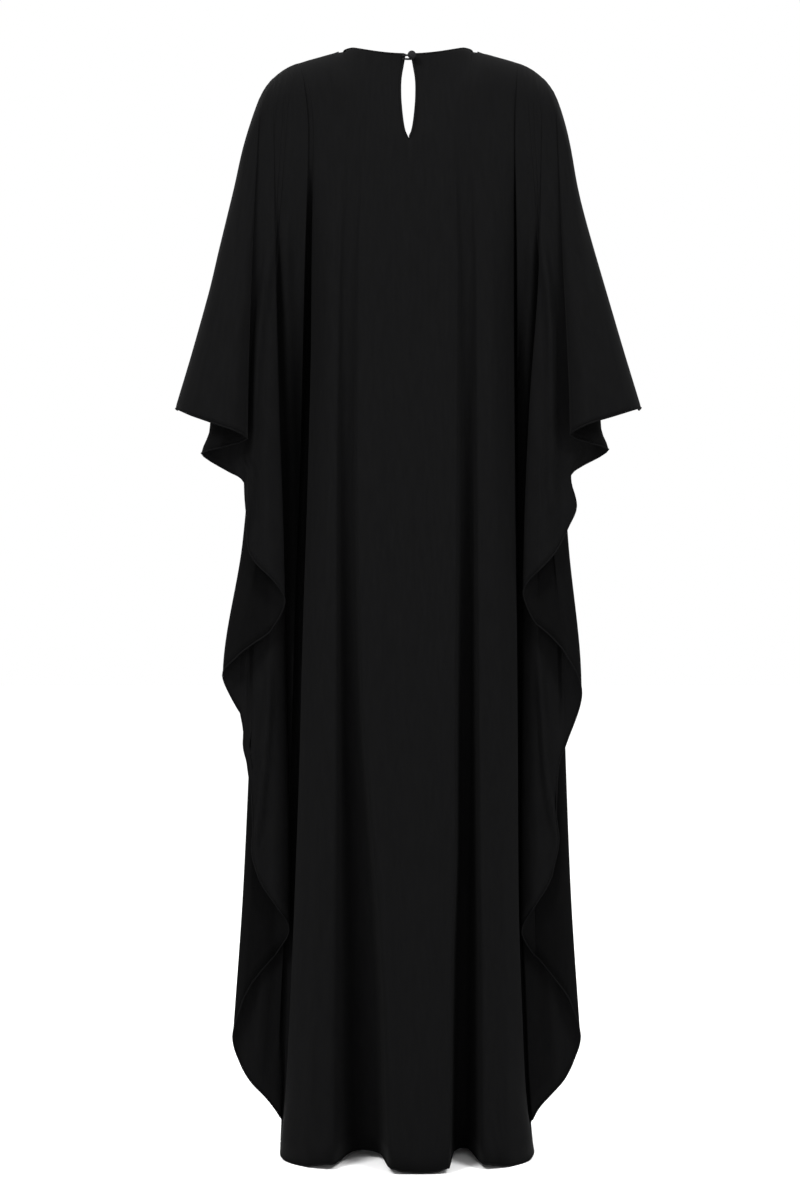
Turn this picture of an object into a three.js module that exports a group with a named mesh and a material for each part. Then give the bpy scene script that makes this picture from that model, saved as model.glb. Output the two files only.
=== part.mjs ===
// A full-length batwing gown, open in the worn shape with nobody in it.
// Millimetres, +Z up. The wearer faces +Y, so the back faces -Y. The origin is the middle of the neck opening, at the
// height of the neck points. Each panel is a grid of columns that hang from the neck, shoulder and overarm line, and
// the folds are columns that cross over one another. "Out" is the distance from the centre plane to either side, and
// "depth" is the distance from the shoulder plane to the back or to the front.
import * as THREE from "three";

const WALL = 1.4;
const SEAM_GAP = 0.3;
// Where a wall turns sharply its points move further out to keep it thick, up to this share of the turn.
const SHARPEST_TURN = 0.72;
const BACK = -1;
const FRONT = 1;
const LEFT = -1;
const RIGHT = 1;

const NECK = { halfWidth: 84, backDrop: 21, frontDrop: 116, frontScoop: 0.8, backDepth: 62, frontDepth: 76 };
const BINDING = { width: 2, thickness: 2 };
const BUTTON = { radius: 5.5, x: 5, shankRadius: 1.2, shankLength: 3, standOff: 2.4, segments: 16 };
const LOOP = { radius: 0.9, reach: 2.5, overlap: 12, steps: 22, sides: 8 };

// Where a column leaves the shoulder its cloth curves over, and its fold comes in over this height.
const SHOULDER_ROUND = 62;
const NECK_ROUND = 150;
const FOLD_FADE = 110;
// The side seam starts under the arm, and the layers of a wing draw in towards it between these heights.
const UNDERARM = { seamFrom: -200, seamTo: -420, layersFrom: -150, layersTo: -640, seamDepth: 72 };
// The side seam lies in a valley between the body and the wing.
const SEAM_VALLEY = { middle: 6, wide: 14, rise: 5 };
// The front hangs behind the back, so its upper edges are cut a little shorter and stay hidden behind it.
const FRONT_EDGE = { level: -726, risePerHeight: 0.09, rise: 5 };
const FLOOR = -1449;

// The rows of points down each column, as shares of its length from its top to its edge.
const ROW_SHARES = {
  [BACK]: [0, 0.0091, 0.0203, 0.0322, 0.047, 0.0638, 0.0736, 0.0806, 0.115, 0.17, 0.26, 0.4, 0.57, 0.78, 1],
  [FRONT]: [0, 0.0091, 0.0203, 0.038, 0.07, 0.115, 0.17, 0.26, 0.4, 0.57, 0.78, 1],
};
// The back opening in the cloth: half its width at each of the first rows, closed at the last.
const KEYHOLE_HALF = [5.3, 8.8, 11.3, 12, 11.3, 9.3, 6.5, 0];

// The shoulder and overarm seam, from the neck point to the tip of the cuff.
const OVERARM = [
  { out: 84, z: 0 },
  { out: 98, z: -5 },
  { out: 152, z: -22 },
  { out: 178, z: -40 },
  { out: 193, z: -62 },
  { out: 209, z: -110 },
  { out: 231, z: -198 },
  { out: 307, z: -476 },
];
const SLEEVE_TOP = 209;

// The body: how far out its side seams lie, how far the back and the front stand out, how square it is, and how much
// of its depth is gone where it reaches the seams.
const BODY = [
  { z: 0, left: 130, right: 138, back: 66, front: 72, square: 2.8, slope: 0 },
  { z: -145, left: 122, right: 135.5, back: 91, front: 99, square: 3.2, slope: 0 },
  { z: -285, left: 125.5, right: 137.5, back: 99, front: 114, square: 3.8, slope: 0.02 },
  { z: -425, left: 128, right: 138.5, back: 102, front: 121, square: 4.4, slope: 0.04 },
  { z: -585, left: 132, right: 139.5, back: 105, front: 124, square: 4.8, slope: 0.08 },
  { z: -750, left: 137.5, right: 141.5, back: 108, front: 124, square: 5, slope: 0.12 },
  { z: -935, left: 142.5, right: 143, back: 111, front: 124, square: 5, slope: 0.18 },
  { z: -1100, left: 148.5, right: 144, back: 115, front: 124, square: 5, slope: 0.26 },
  { z: -1290, left: 156.5, right: 150, back: 120, front: 125, square: 5, slope: 0.35 },
  { z: -1370, left: 161, right: 154, back: 123, front: 126, square: 5, slope: 0.38 },
  { z: FLOOR, left: 165.5, right: 161.5, back: 125, front: 127, square: 5, slope: 0.4 },
];

// Troughs that run down the body: at each height where the middle lies, half the width, and the depth.
const TROUGHS = {
  [BACK]: {
    left: [
      { z: -120, at: -68, wide: 12, deep: 0 },
      { z: -330, at: -76, wide: 13, deep: 7 },
      { z: -580, at: -78, wide: 14, deep: 16 },
      { z: -850, at: -75, wide: 18, deep: 30 },
      { z: -1050, at: -68, wide: 27, deep: 44 },
      { z: -1200, at: -65, wide: 32, deep: 56 },
      { z: FLOOR, at: -63, wide: 35, deep: 76 },
    ],
    right: [
      { z: -120, at: 70, wide: 12, deep: 0 },
      { z: -330, at: 75, wide: 13, deep: 9 },
      { z: -580, at: 75, wide: 14, deep: 20 },
      { z: -850, at: 75, wide: 16, deep: 38 },
      { z: -1050, at: 76, wide: 17, deep: 54 },
      { z: -1200, at: 75, wide: 18, deep: 66 },
      { z: FLOOR, at: 73, wide: 19, deep: 84 },
    ],
  },
  [FRONT]: {
    left: [
      { z: -300, at: -66, wide: 16, deep: 0 },
      { z: -640, at: -67, wide: 18, deep: 10 },
      { z: -980, at: -69, wide: 20, deep: 30 },
      { z: FLOOR, at: -70, wide: 24, deep: 66 },
    ],
    right: [
      { z: -260, at: 62, wide: 16, deep: 0 },
      { z: -620, at: 60, wide: 20, deep: 9 },
      { z: -980, at: 56, wide: 25, deep: 28 },
      { z: FLOOR, at: 50, wide: 31, deep: 60 },
    ],
  },
};
const TROUGH_SQUARE = 1.4;
const HEM_RISE_IN_TROUGH = 6;

// Columns of the body from one side seam to the other. Each starts at `top` on the neck or shoulder line, and below
// it follows either a share of the half width, a place across a trough, or a line to a place on the hem.
const SIDE_COLUMNS = [
  { top: 137, share: 0.985, hemRise: 16 },
  { top: 131, share: 0.94, hemRise: 5 },
  { top: 120, share: 0.86, hemRise: 1 },
  { top: 103, share: 0.76, hemRise: 0 },
];
const TROUGH_COLUMNS = [-1.15, -0.7, -0.35, 0, 0.35, 0.7, 1.15];
const TROUGH_TOPS = {
  left: [-93, -84, -76, -67, -58, -49, -39],
  right: [45, 53, 61, 69, 77, 84, 93],
};
const MIDDLE_COLUMNS = [
  { top: -21, hem: -10 },
  { top: 0, hem: 14 },
  { top: 21, hem: 35 },
];

// The layers of a wing from the side seam to the sleeve, each nearer the viewer than the last: their depth above and
// below the underarm. Each fold lies between the layer of its own row and the next one.
const LAYERS = [
  { name: "hem wing", above: 74, below: 8 },
  { name: "second", above: 77, below: 25 },
  { name: "third", above: 80, below: 43 },
  { name: "fourth", above: 83, below: 60 },
  { name: "fifth", above: 86, below: 78 },
  { name: "sixth", above: 90, below: 94 },
  { name: "sleeve", above: 94, below: 110 },
];

// The fold lines, by how far out they lie at each height below the neck, and where they end. `top` is where the line
// meets the shoulder. The first is the side seam, which lies where the body is widest. After it, outer folds and
// inner folds take turns.
const FOLDS = {
  [LEFT]: [
    { top: 140, endZ: -1412 },
    { top: 150, at60: 151, at300: 170, at480: 186, at650: 197, at830: 204, at1100: 216, at1300: 230, endZ: -1300 },
    { top: 158, at60: 158, at300: 171, at480: 172, at650: 163, at830: 160, at1100: 155, at1300: 157, endZ: -1157 },
    { top: 166, at60: 166, at300: 187, at480: 200, at650: 215, at830: 241, at1100: 241, at1300: 241, endZ: -825 },
    { top: 173, at60: 173, at300: 170, at480: 166.5, at650: 161, at830: 158, at1100: 158, at1300: 158, endZ: -726 },
    { top: 181, at60: 181, at300: 222, at480: 253, at650: 261, at830: 261, at1100: 261, at1300: 261, endZ: -538 },
    { top: 188, at60: 188, at300: 200, at480: 205, at650: 206, at830: 206, at1100: 206, at1300: 206, endZ: -520 },
  ],
  [RIGHT]: [
    { top: 140, endZ: -1416 },
    { top: 150, at60: 151, at300: 170, at480: 185, at650: 196, at830: 203, at1100: 213, at1300: 226, endZ: -1299 },
    { top: 158, at60: 158, at300: 169, at480: 166, at650: 153, at830: 149.5, at1100: 148, at1300: 149, endZ: -1160 },
    { top: 166, at60: 166, at300: 186, at480: 197, at650: 208, at830: 225, at1100: 228, at1300: 228, endZ: -848 },
    { top: 173, at60: 172, at300: 167.5, at480: 156, at650: 149.5, at830: 147, at1100: 147, at1300: 147, endZ: -716 },
    { top: 181, at60: 181, at300: 220, at480: 246, at650: 254, at830: 254, at1100: 254, at1300: 254, endZ: -533 },
    { top: 188, at60: 188, at300: 198, at480: 206, at650: 208, at830: 208, at1100: 208, at1300: 208, endZ: -515 },
  ],
};
const STATIONS = { at60: -60, at300: -300, at480: -480, at650: -650, at830: -830, at1100: -1100, at1300: -1300 };

// The free edge along each layer, between the ends of its two folds: share of the way out along the layer, and height.
const EDGES = {
  [LEFT]: [
    [{ share: 0.17, z: -1397 }, { share: 0.4, z: -1379 }, { share: 0.66, z: -1361 }, { share: 0.88, z: -1336 }],
    [{ share: 0.1, z: -1255 }, { share: 0.3, z: -1228 }, { share: 0.61, z: -1201 }, { share: 0.9, z: -1178 }],
    [{ share: 0.05, z: -1146 }, { share: 0.144, z: -1130 }, { share: 0.3, z: -1112 }, { share: 0.46, z: -1089 },
      { share: 0.53, z: -1055 }, { share: 0.56, z: -985 }, { share: 0.62, z: -945 }, { share: 0.665, z: -905 },
      { share: 0.73, z: -874 }, { share: 0.889, z: -849 }],
    [{ share: 0.05, z: -814 }, { share: 0.149, z: -803 }, { share: 0.433, z: -785 }, { share: 0.748, z: -764 },
      { share: 0.926, z: -740 }],
    [{ share: 0.093, z: -704 }, { share: 0.298, z: -685 }, { share: 0.44, z: -665 }, { share: 0.48, z: -630 },
      { share: 0.5, z: -575 }, { share: 0.756, z: -556 }],
    [{ share: 0.5, z: -531 }],
    [{ share: 0.1, z: -513 }, { share: 0.3, z: -506 }, { share: 0.53, z: -498 }, { share: 0.74, z: -490 },
      { share: 0.9, z: -482 }, { share: 0.975, z: -478 }],
  ],
  [RIGHT]: [
    [{ share: 0.077, z: -1410 }, { share: 0.211, z: -1396 }, { share: 0.484, z: -1376 },
      { share: 0.711, z: -1358 }, { share: 0.869, z: -1337 }],
    [{ share: 0.107, z: -1255 }, { share: 0.395, z: -1223 }, { share: 0.726, z: -1194 },
      { share: 0.964, z: -1173 }],
    [{ share: 0.062, z: -1142 }, { share: 0.292, z: -1115 }, { share: 0.48, z: -1089 }, { share: 0.545, z: -1060 },
      { share: 0.57, z: -985 }, { share: 0.61, z: -943 }, { share: 0.69, z: -924 }, { share: 0.76, z: -907 },
      { share: 0.922, z: -881 }],
    [{ share: 0.06, z: -822 }, { share: 0.114, z: -809 }, { share: 0.335, z: -787 }, { share: 0.687, z: -761 },
      { share: 0.95, z: -736 }],
    [{ share: 0.04, z: -704 }, { share: 0.193, z: -687 }, { share: 0.361, z: -668 }, { share: 0.525, z: -637 },
      { share: 0.59, z: -605 }, { share: 0.62, z: -565 }, { share: 0.783, z: -548 }],
    [{ share: 0.5, z: -526 }],
    [{ share: 0.1, z: -508 }, { share: 0.3, z: -500 }, { share: 0.5, z: -494 }, { share: 0.74, z: -486 },
      { share: 0.9, z: -480 }, { share: 0.975, z: -477 }],
  ],
};
const SLEEVE_SQUARE = 3;
const CUFF_TIP_Z = -476;

const lerp = (a, b, share) => a + (b - a) * share;
const clamp = (value, low, high) => Math.min(high, Math.max(low, value));
const ease = (share) => share * share * (3 - 2 * share);
const easeBetween = (value, from, to) => ease(clamp((value - from) / (to - from), 0, 1));

// Reads `key` from rows sorted along `by`, on a smooth curve through the rows.
function readTable(rows, by, key, value) {
  const last = rows.length - 1;
  const rising = rows[last][by] > rows[0][by] ? 1 : -1;
  if ((value - rows[0][by]) * rising <= 0) return rows[0][key];
  if ((value - rows[last][by]) * rising >= 0) return rows[last][key];
  const i = rows.findIndex((row, n) => n < last && (value - rows[n + 1][by]) * rising <= 0);
  const slope = (a, b) => (rows[b][key] - rows[a][key]) / (rows[b][by] - rows[a][by]);
  const span = rows[i + 1][by] - rows[i][by];
  const here = slope(i, i + 1);
  const tangent = (a, b) => {
    const other = slope(a, b);
    return other * here <= 0 ? 0 : (2 * other * here) / (other + here);
  };
  const from = i > 0 ? tangent(i - 1, i) : here;
  const to = i + 1 < last ? tangent(i + 1, i + 2) : here;
  const t = (value - rows[i][by]) / span;
  const rest = 1 - t;
  return (
    rows[i][key] * (1 + 2 * t) * rest * rest +
    rows[i + 1][key] * t * t * (3 - 2 * t) +
    span * (from * t * rest * rest - to * t * t * rest)
  );
}

const seamHeight = (out) => readTable(OVERARM, "out", "z", out);
const seamOut = (z) => readTable(OVERARM, "z", "out", z);
const foldLine = (fold) => Object.entries(STATIONS).map(([key, z]) => ({ z, out: fold[key] }));
const FOLD_LINES = { [LEFT]: FOLDS[LEFT].map(foldLine), [RIGHT]: FOLDS[RIGHT].map(foldLine) };

const bodyHalf = (side, z) => readTable(BODY, "z", side === LEFT ? "left" : "right", z);

// How far out fold line `k` lies at height z. The line after the last fold is the overarm seam.
function foldOut(side, k, z) {
  if (k === 0) return bodyHalf(side, z);
  if (k === LAYERS.length) return seamOut(z);
  return readTable(FOLD_LINES[side][k], "z", "out", z);
}

function layerDepth(layer, z) {
  const drawn = easeBetween(z, UNDERARM.layersFrom, UNDERARM.layersTo);
  return lerp(LAYERS[layer].above, LAYERS[layer].below, drawn);
}

function seamDepth(z) {
  const drawn = easeBetween(z, UNDERARM.seamFrom, UNDERARM.seamTo);
  return lerp(UNDERARM.seamDepth, (SEAM_GAP + WALL / SHARPEST_TURN) / 2, drawn);
}

// The neck line at x: its height and its depth.
function neckPoint(face, x) {
  const across = 1 - (x / NECK.halfWidth) ** 2;
  const round = Math.sqrt(Math.max(0, across));
  if (face === BACK) return { z: -NECK.backDrop * across, depth: NECK.backDepth * round };
  return { z: -NECK.frontDrop * across ** NECK.frontScoop, depth: NECK.frontDepth * round };
}

// Where a column starts: on the neck line, or on the shoulder and overarm seam.
function columnTop(face, x) {
  const out = Math.abs(x);
  if (out < NECK.halfWidth) return { x, ...neckPoint(face, x), onSeam: false };
  return { x, z: seamHeight(out), depth: SEAM_GAP / 2, onSeam: true };
}

function troughDepth(face, x, z) {
  let deep = 0;
  for (const trough of Object.values(TROUGHS[face])) {
    const across = Math.abs(x - readTable(trough, "z", "at", z)) / readTable(trough, "z", "wide", z);
    const round = Math.cos((Math.min(1, across) ** TROUGH_SQUARE * Math.PI) / 2);
    deep += readTable(trough, "z", "deep", z) * round * round;
  }
  return deep;
}

function bodyDepth(face, x, z) {
  const full = readTable(BODY, "z", face === BACK ? "back" : "front", z);
  const square = readTable(BODY, "z", "square", z);
  const across = clamp(Math.abs(x) / bodyHalf(Math.sign(x) || RIGHT, z), 0, 1);
  const seam = seamDepth(z);
  const crown = full * (1 - readTable(BODY, "z", "slope", z) * across * across);
  return seam + (crown - seam) * (1 - across ** square) ** (1 / square) - troughDepth(face, x, z);
}

function bodyColumn(face, top, xAt, endZ) {
  return { top: columnTop(face, top), x: xAt, depth: (z) => bodyDepth(face, xAt(z), z), endZ };
}

function sideColumns(face, side) {
  return SIDE_COLUMNS.map(({ top, share, hemRise }) => {
    const xAt = (z) => side * share * bodyHalf(side, z);
    return bodyColumn(face, side * top, xAt, FLOOR + hemRise);
  });
}

function troughColumns(face, name) {
  const trough = TROUGHS[face][name];
  return TROUGH_COLUMNS.map((across, i) => {
    const xAt = (z) => readTable(trough, "z", "at", z) + across * readTable(trough, "z", "wide", z);
    const rise = Math.abs(across) < 1 ? HEM_RISE_IN_TROUGH * Math.cos((across * Math.PI) / 2) ** 2 : 0;
    return bodyColumn(face, TROUGH_TOPS[name][i], xAt, FLOOR + rise);
  });
}

// The middle of the panel. On the back the centre column is two columns, one along each edge of the opening.
function middleColumns(face) {
  return MIDDLE_COLUMNS.flatMap(({ top, hem }) => {
    const xAt = (z) => lerp(top, hem, clamp(z / FLOOR, 0, 1));
    const column = bodyColumn(face, top, xAt, FLOOR);
    if (face === FRONT || top !== 0) return [column];
    return [{ ...column, opening: LEFT }, { ...column, opening: RIGHT }];
  });
}

function endHeight(face, z) {
  if (face === BACK || z < FRONT_EDGE.level) return z;
  return z + (z - FRONT_EDGE.level) * FRONT_EDGE.risePerHeight + FRONT_EDGE.rise;
}

// The height of the free edge at a share of the way along a layer.
function edgeHeight(side, layer, share) {
  const to = layer + 1 < FOLDS[side].length ? FOLDS[side][layer + 1].endZ : CUFF_TIP_Z;
  const rows = [{ share: 0, z: FOLDS[side][layer].endZ }, ...EDGES[side][layer], { share: 1, z: to }];
  const i = rows.findIndex((row, n) => share <= rows[n + 1].share);
  return lerp(rows[i].z, rows[i + 1].z, (share - rows[i].share) / (rows[i + 1].share - rows[i].share));
}

const turnRadius = (k, z) => (layerDepth(k, z) - layerDepth(k - 1, z)) / 2;

// The share of a layer's width that the turn of fold `k` takes at its end, towards the fold line `other`.
function turnShare(side, k, other) {
  const z = FOLDS[side][k].endZ;
  return turnRadius(k, z) / Math.abs(foldOut(side, other, z) - foldOut(side, k, z));
}

// The turn of a fold is three columns: one in each layer and one along the crown.
function turnColumns(face, side, k) {
  const beside = (other, z) => {
    const r = turnRadius(k, z);
    return clamp((foldOut(side, other, z) - foldOut(side, k, z)) / (3 * r), -1, 1) * r;
  };
  const { top, endZ } = FOLDS[side][k];
  const column = (shift, other, layer, share) => ({
    top: columnTop(face, side * (top + shift)),
    x: (z) => side * (foldOut(side, k, z) + (other === k ? 0 : beside(other, z))),
    depth: layer,
    endZ: endHeight(face, other === k ? endZ : edgeHeight(side, Math.min(k, other), share)),
  });
  return [
    column(-2.4, k - 1, (z) => layerDepth(k - 1, z), 1 - turnShare(side, k, k - 1)),
    column(0, k, (z) => (layerDepth(k - 1, z) + layerDepth(k, z)) / 2, 0),
    column(2.4, k + 1, (z) => layerDepth(k, z), turnShare(side, k, k + 1)),
  ];
}

// The columns of a layer between the turns of its two folds.
function layerColumns(face, side, layer) {
  const isSleeve = layer === LAYERS.length - 1;
  const from = FOLDS[side][layer].top;
  const to = isSleeve ? SLEEVE_TOP : FOLDS[side][layer + 1].top;
  const first = layer === 0 ? 0 : turnShare(side, layer, layer + 1);
  const last = isSleeve ? 1 : 1 - turnShare(side, layer + 1, layer);
  const between = EDGES[side][layer].filter(({ share }) => share > first && share < last);
  return between.map(({ share, z: endZ }) => ({
    top: columnTop(face, side * lerp(from, to, lerp(0.3, isSleeve ? 1 : 0.7, share))),
    x: (z) => side * lerp(foldOut(side, layer, z), foldOut(side, layer + 1, z), share),
    depth: (z) => layerDepth(layer, z) * (isSleeve ? (1 - share ** SLEEVE_SQUARE) ** (1 / SLEEVE_SQUARE) : 1),
    endZ: endHeight(face, endZ),
  }));
}

// The side seam: the body turns out of it into the first layer of the wing.
function seamColumns(face, side) {
  const { top, endZ } = FOLDS[side][0];
  const column = (shift, depth, rise) => ({
    top: columnTop(face, side * (top + shift / 2)),
    x: (z) => side * (foldOut(side, 0, z) + shift),
    depth,
    endZ: endZ + rise,
  });
  return [
    column(0, (z) => seamDepth(z) + SEAM_VALLEY.rise, -SEAM_VALLEY.rise),
    column(SEAM_VALLEY.middle, seamDepth, 0),
    column(SEAM_VALLEY.wide, (z) => Math.max(layerDepth(0, z) - 2, seamDepth(z)), SEAM_VALLEY.rise),
  ];
}

// The overarm seam itself, from the shoulder to the tip of the cuff.
function overarmColumn(face, side) {
  return {
    top: columnTop(face, side * SLEEVE_TOP),
    x: (z) => side * seamOut(z),
    depth: () => SEAM_GAP / 2,
    endZ: CUFF_TIP_Z,
    onSeam: true,
  };
}

function wingColumns(face, side) {
  const columns = seamColumns(face, side);
  LAYERS.forEach((layer, k) => {
    if (k > 0) columns.push(...turnColumns(face, side, k));
    columns.push(...layerColumns(face, side, k));
  });
  return [...columns, overarmColumn(face, side)];
}

function panelColumns(face) {
  return [
    ...wingColumns(face, LEFT).reverse(),
    ...sideColumns(face, LEFT),
    ...troughColumns(face, "left"),
    ...middleColumns(face),
    ...troughColumns(face, "right"),
    ...sideColumns(face, RIGHT).reverse(),
    ...wingColumns(face, RIGHT),
  ];
}

// The point of a column at one row, and whether it lies on a seam with the other panel.
function columnPoint(face, column, row) {
  const { top } = column;
  const z = lerp(top.z, column.endZ, ROW_SHARES[face][row]);
  const drop = top.z - z;
  const fade = (1 - Math.min(1, drop / FOLD_FADE)) ** 2;
  const inNeck = clamp((NECK.halfWidth + 20 - Math.abs(top.x)) / NECK.halfWidth, 0, 1);
  const reach = lerp(SHOULDER_ROUND, NECK_ROUND, inNeck);
  const over = Math.sin((Math.min(1, drop / reach) * Math.PI) / 2) ** lerp(0.62, 1, inNeck);
  let x = column.x(z) + (top.x - column.x(top.z)) * fade;
  if (column.opening && row < KEYHOLE_HALF.length) x = column.opening * KEYHOLE_HALF[row];
  const depth = column.onSeam ? SEAM_GAP / 2 : lerp(top.depth, column.depth(z), over);
  return {
    at: new THREE.Vector3(x, face * depth, z),
    onSeam: Boolean(column.onSeam) || (row === 0 && top.onSeam),
  };
}

function panelGrid(face) {
  return panelColumns(face).map((column) => {
    const points = ROW_SHARES[face].map((share, row) => columnPoint(face, column, row));
    return { opening: column.opening, neck: !column.top.onSeam || Math.abs(column.top.x) === NECK.halfWidth, points };
  });
}

// Gives a grid of points its vertex numbers. Below the back opening its two edge columns are one.
function numberVertices(grid) {
  const vertices = [];
  const ids = [];
  grid.forEach((column, c) => {
    ids.push(
      column.points.map((point, row) => {
        const joined = column.opening === RIGHT && row >= KEYHOLE_HALF.length - 1;
        if (joined) return ids[c - 1][row];
        vertices.push(point);
        return vertices.length - 1;
      }),
    );
  });
  return { vertices, ids };
}

// Triangles over the grid, each quad cut along its shorter diagonal.
function gridTriangles(grid, ids, vertices) {
  const triangles = [];
  const far = (a, b) => vertices[a].at.distanceTo(vertices[b].at);
  for (let c = 0; c + 1 < grid.length; c++) {
    if (grid[c].opening === LEFT) continue;
    for (let row = 0; row + 1 < ids[c].length; row++) {
      const [a, b, d, e] = [ids[c][row], ids[c + 1][row], ids[c][row + 1], ids[c + 1][row + 1]];
      if (far(a, e) < far(b, d)) triangles.push([a, d, e], [a, e, b]);
      else triangles.push([a, d, b], [b, d, e]);
    }
  }
  return triangles;
}

function triangleNormal(vertices, [a, b, c]) {
  const ab = vertices[b].at.clone().sub(vertices[a].at);
  const ac = vertices[c].at.clone().sub(vertices[a].at);
  return ab.cross(ac);
}

// How far each vertex moves to reach the wall's face: half the thickness, and more where the wall turns sharply.
function wallOffsets(vertices, triangles, thickness) {
  const faces = triangles.map((triangle) => triangleNormal(vertices, triangle));
  const sums = vertices.map(() => new THREE.Vector3());
  triangles.forEach((triangle, t) => triangle.forEach((v) => sums[v].add(faces[t])));
  const normals = sums.map((sum, v) => {
    if (vertices[v].onSeam) sum.y = 0;
    return sum.normalize();
  });
  const facing = vertices.map(() => ({ sum: 0, area: 0 }));
  triangles.forEach((triangle, t) => {
    const area = faces[t].length();
    triangle.forEach((v) => {
      facing[v].sum += Math.abs(normals[v].dot(faces[t]));
      facing[v].area += area;
    });
  });
  return normals.map((normal, v) => {
    const turn = vertices[v].onSeam ? 1 : clamp(facing[v].sum / facing[v].area, SHARPEST_TURN, 1);
    return normal.clone().multiplyScalar(thickness / 2 / turn);
  });
}

// Edges that only one triangle uses, in that triangle's direction.
function freeEdges(triangles) {
  const used = new Map();
  for (const [a, b, c] of triangles) {
    for (const [from, to] of [[a, b], [b, c], [c, a]]) used.set(`${from} ${to}`, [from, to]);
  }
  return [...used.values()].filter(([from, to]) => !used.has(`${to} ${from}`));
}

// The middle surface of a wall: its points, its triangles facing out of the gown, and the way from it to its face.
function surface(grid, face, thickness) {
  const { vertices, ids } = numberVertices(grid);
  const triangles = gridTriangles(grid, ids, vertices).map(([a, b, c]) => (face === BACK ? [a, b, c] : [a, c, b]));
  return { grid, vertices, ids, triangles, offsets: wallOffsets(vertices, triangles, thickness) };
}

function wall({ vertices, triangles, offsets }) {
  const count = vertices.length;
  const outer = vertices.map(({ at }, v) => at.clone().add(offsets[v]));
  const inner = vertices.map(({ at }, v) => at.clone().sub(offsets[v]));
  const index = triangles.flatMap(([a, b, c]) => [a, b, c, a + count, c + count, b + count]);
  for (const [from, to] of freeEdges(triangles)) index.push(to, from, from + count, to, from + count, to + count);
  const geometry = new THREE.BufferGeometry().setFromPoints([...outer, ...inner]);
  geometry.setIndex(index);
  geometry.computeVertexNormals();
  return geometry;
}

// A point of a panel's edge and the way out of the gown there.
function edgeStep(panel, column, row) {
  const id = panel.ids[column][row];
  return { edge: panel.vertices[id].at.clone(), out: panel.offsets[id].clone().normalize() };
}

// A strip that goes on from a panel's edge, set off from it by the seam gap. The edge runs with the panel on its
// right, seen from outside the gown.
function bindingGrid(steps) {
  return steps.map(({ edge, out }, i) => {
    const before = steps[Math.max(0, i - 1)].edge;
    const after = steps[Math.min(steps.length - 1, i + 1)].edge;
    const away = after.clone().sub(before).cross(out).normalize();
    const point = (distance) => ({ at: edge.clone().addScaledVector(away, distance), onSeam: false });
    return { points: [point(SEAM_GAP), point(SEAM_GAP + BINDING.width)] };
  });
}

// Carries the first and last steps on over the end of the opening's binding.
function extendEnds(steps) {
  const beyond = (end, next) => {
    const along = end.edge.clone().sub(next.edge).normalize();
    return { edge: end.edge.clone().addScaledVector(along, BINDING.width), out: end.out };
  };
  const last = steps.length - 1;
  return [beyond(steps[0], steps[1]), ...steps, beyond(steps[last], steps[last - 1])];
}

// From the left end of the opening round the front of the neck to the right end. One step serves for the corners of
// both panels at each neck point.
function neckBindingGeometry(back, front) {
  const neckColumns = (panel) => [...panel.grid.keys()].filter((column) => panel.grid[column].neck);
  const isCorner = (column) => back.grid[column].points[0].onSeam;
  const backSteps = neckColumns(back).filter((column) => !isCorner(column));
  const split = backSteps.findIndex((column) => back.grid[column].opening === RIGHT);
  const left = backSteps.slice(0, split).reverse().map((column) => edgeStep(back, column, 0));
  const right = backSteps.slice(split).reverse().map((column) => edgeStep(back, column, 0));
  const round = neckColumns(front).map((column) => edgeStep(front, column, 0));
  for (const corner of [round[0], round[round.length - 1]]) {
    corner.edge.set(Math.sign(corner.edge.x) * (NECK.halfWidth - WALL), 0, 0);
    corner.out.set(0, 0, 1);
  }
  return wall(surface(bindingGrid(extendEnds([...left, ...round, ...right])), FRONT, BINDING.thickness));
}

// Down the right edge of the opening and up the left.
function keyholeBindingGeometry(back) {
  const left = back.grid.findIndex((column) => column.opening === LEFT);
  const bottom = KEYHOLE_HALF.length - 1;
  const edgeOf = (column) => [...Array(bottom).keys()].map((row) => edgeStep(back, column, row));
  const steps = [...edgeOf(left + 1), edgeStep(back, left, bottom), ...edgeOf(left).reverse()];
  return wall(surface(bindingGrid(steps), FRONT, BINDING.thickness));
}

const BUTTON_BASE = NECK.backDepth + BUTTON.standOff;
const BUTTON_HEIGHT = -NECK.backDrop - 3;

// A ball on a short shank, turned about its own axis and pointing away from the back.
function buttonGeometry() {
  const { radius, shankRadius, shankLength, segments } = BUTTON;
  const ballBase = Math.asin(shankRadius / radius);
  const profile = [new THREE.Vector2(0, 0), new THREE.Vector2(shankRadius, 0)];
  const centre = shankLength + radius * Math.cos(ballBase);
  for (let i = 0; i <= segments / 2; i++) {
    const angle = lerp(ballBase, Math.PI, i / (segments / 2));
    const out = i === segments / 2 ? 0 : radius * Math.sin(angle);
    profile.push(new THREE.Vector2(out, centre - radius * Math.cos(angle)));
  }
  return new THREE.LatheGeometry(profile, segments);
}

function placeButton(mesh) {
  mesh.rotation.x = Math.PI;
  mesh.position.set(BUTTON.x, -BUTTON_BASE, BUTTON_HEIGHT);
  return mesh;
}

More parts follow.
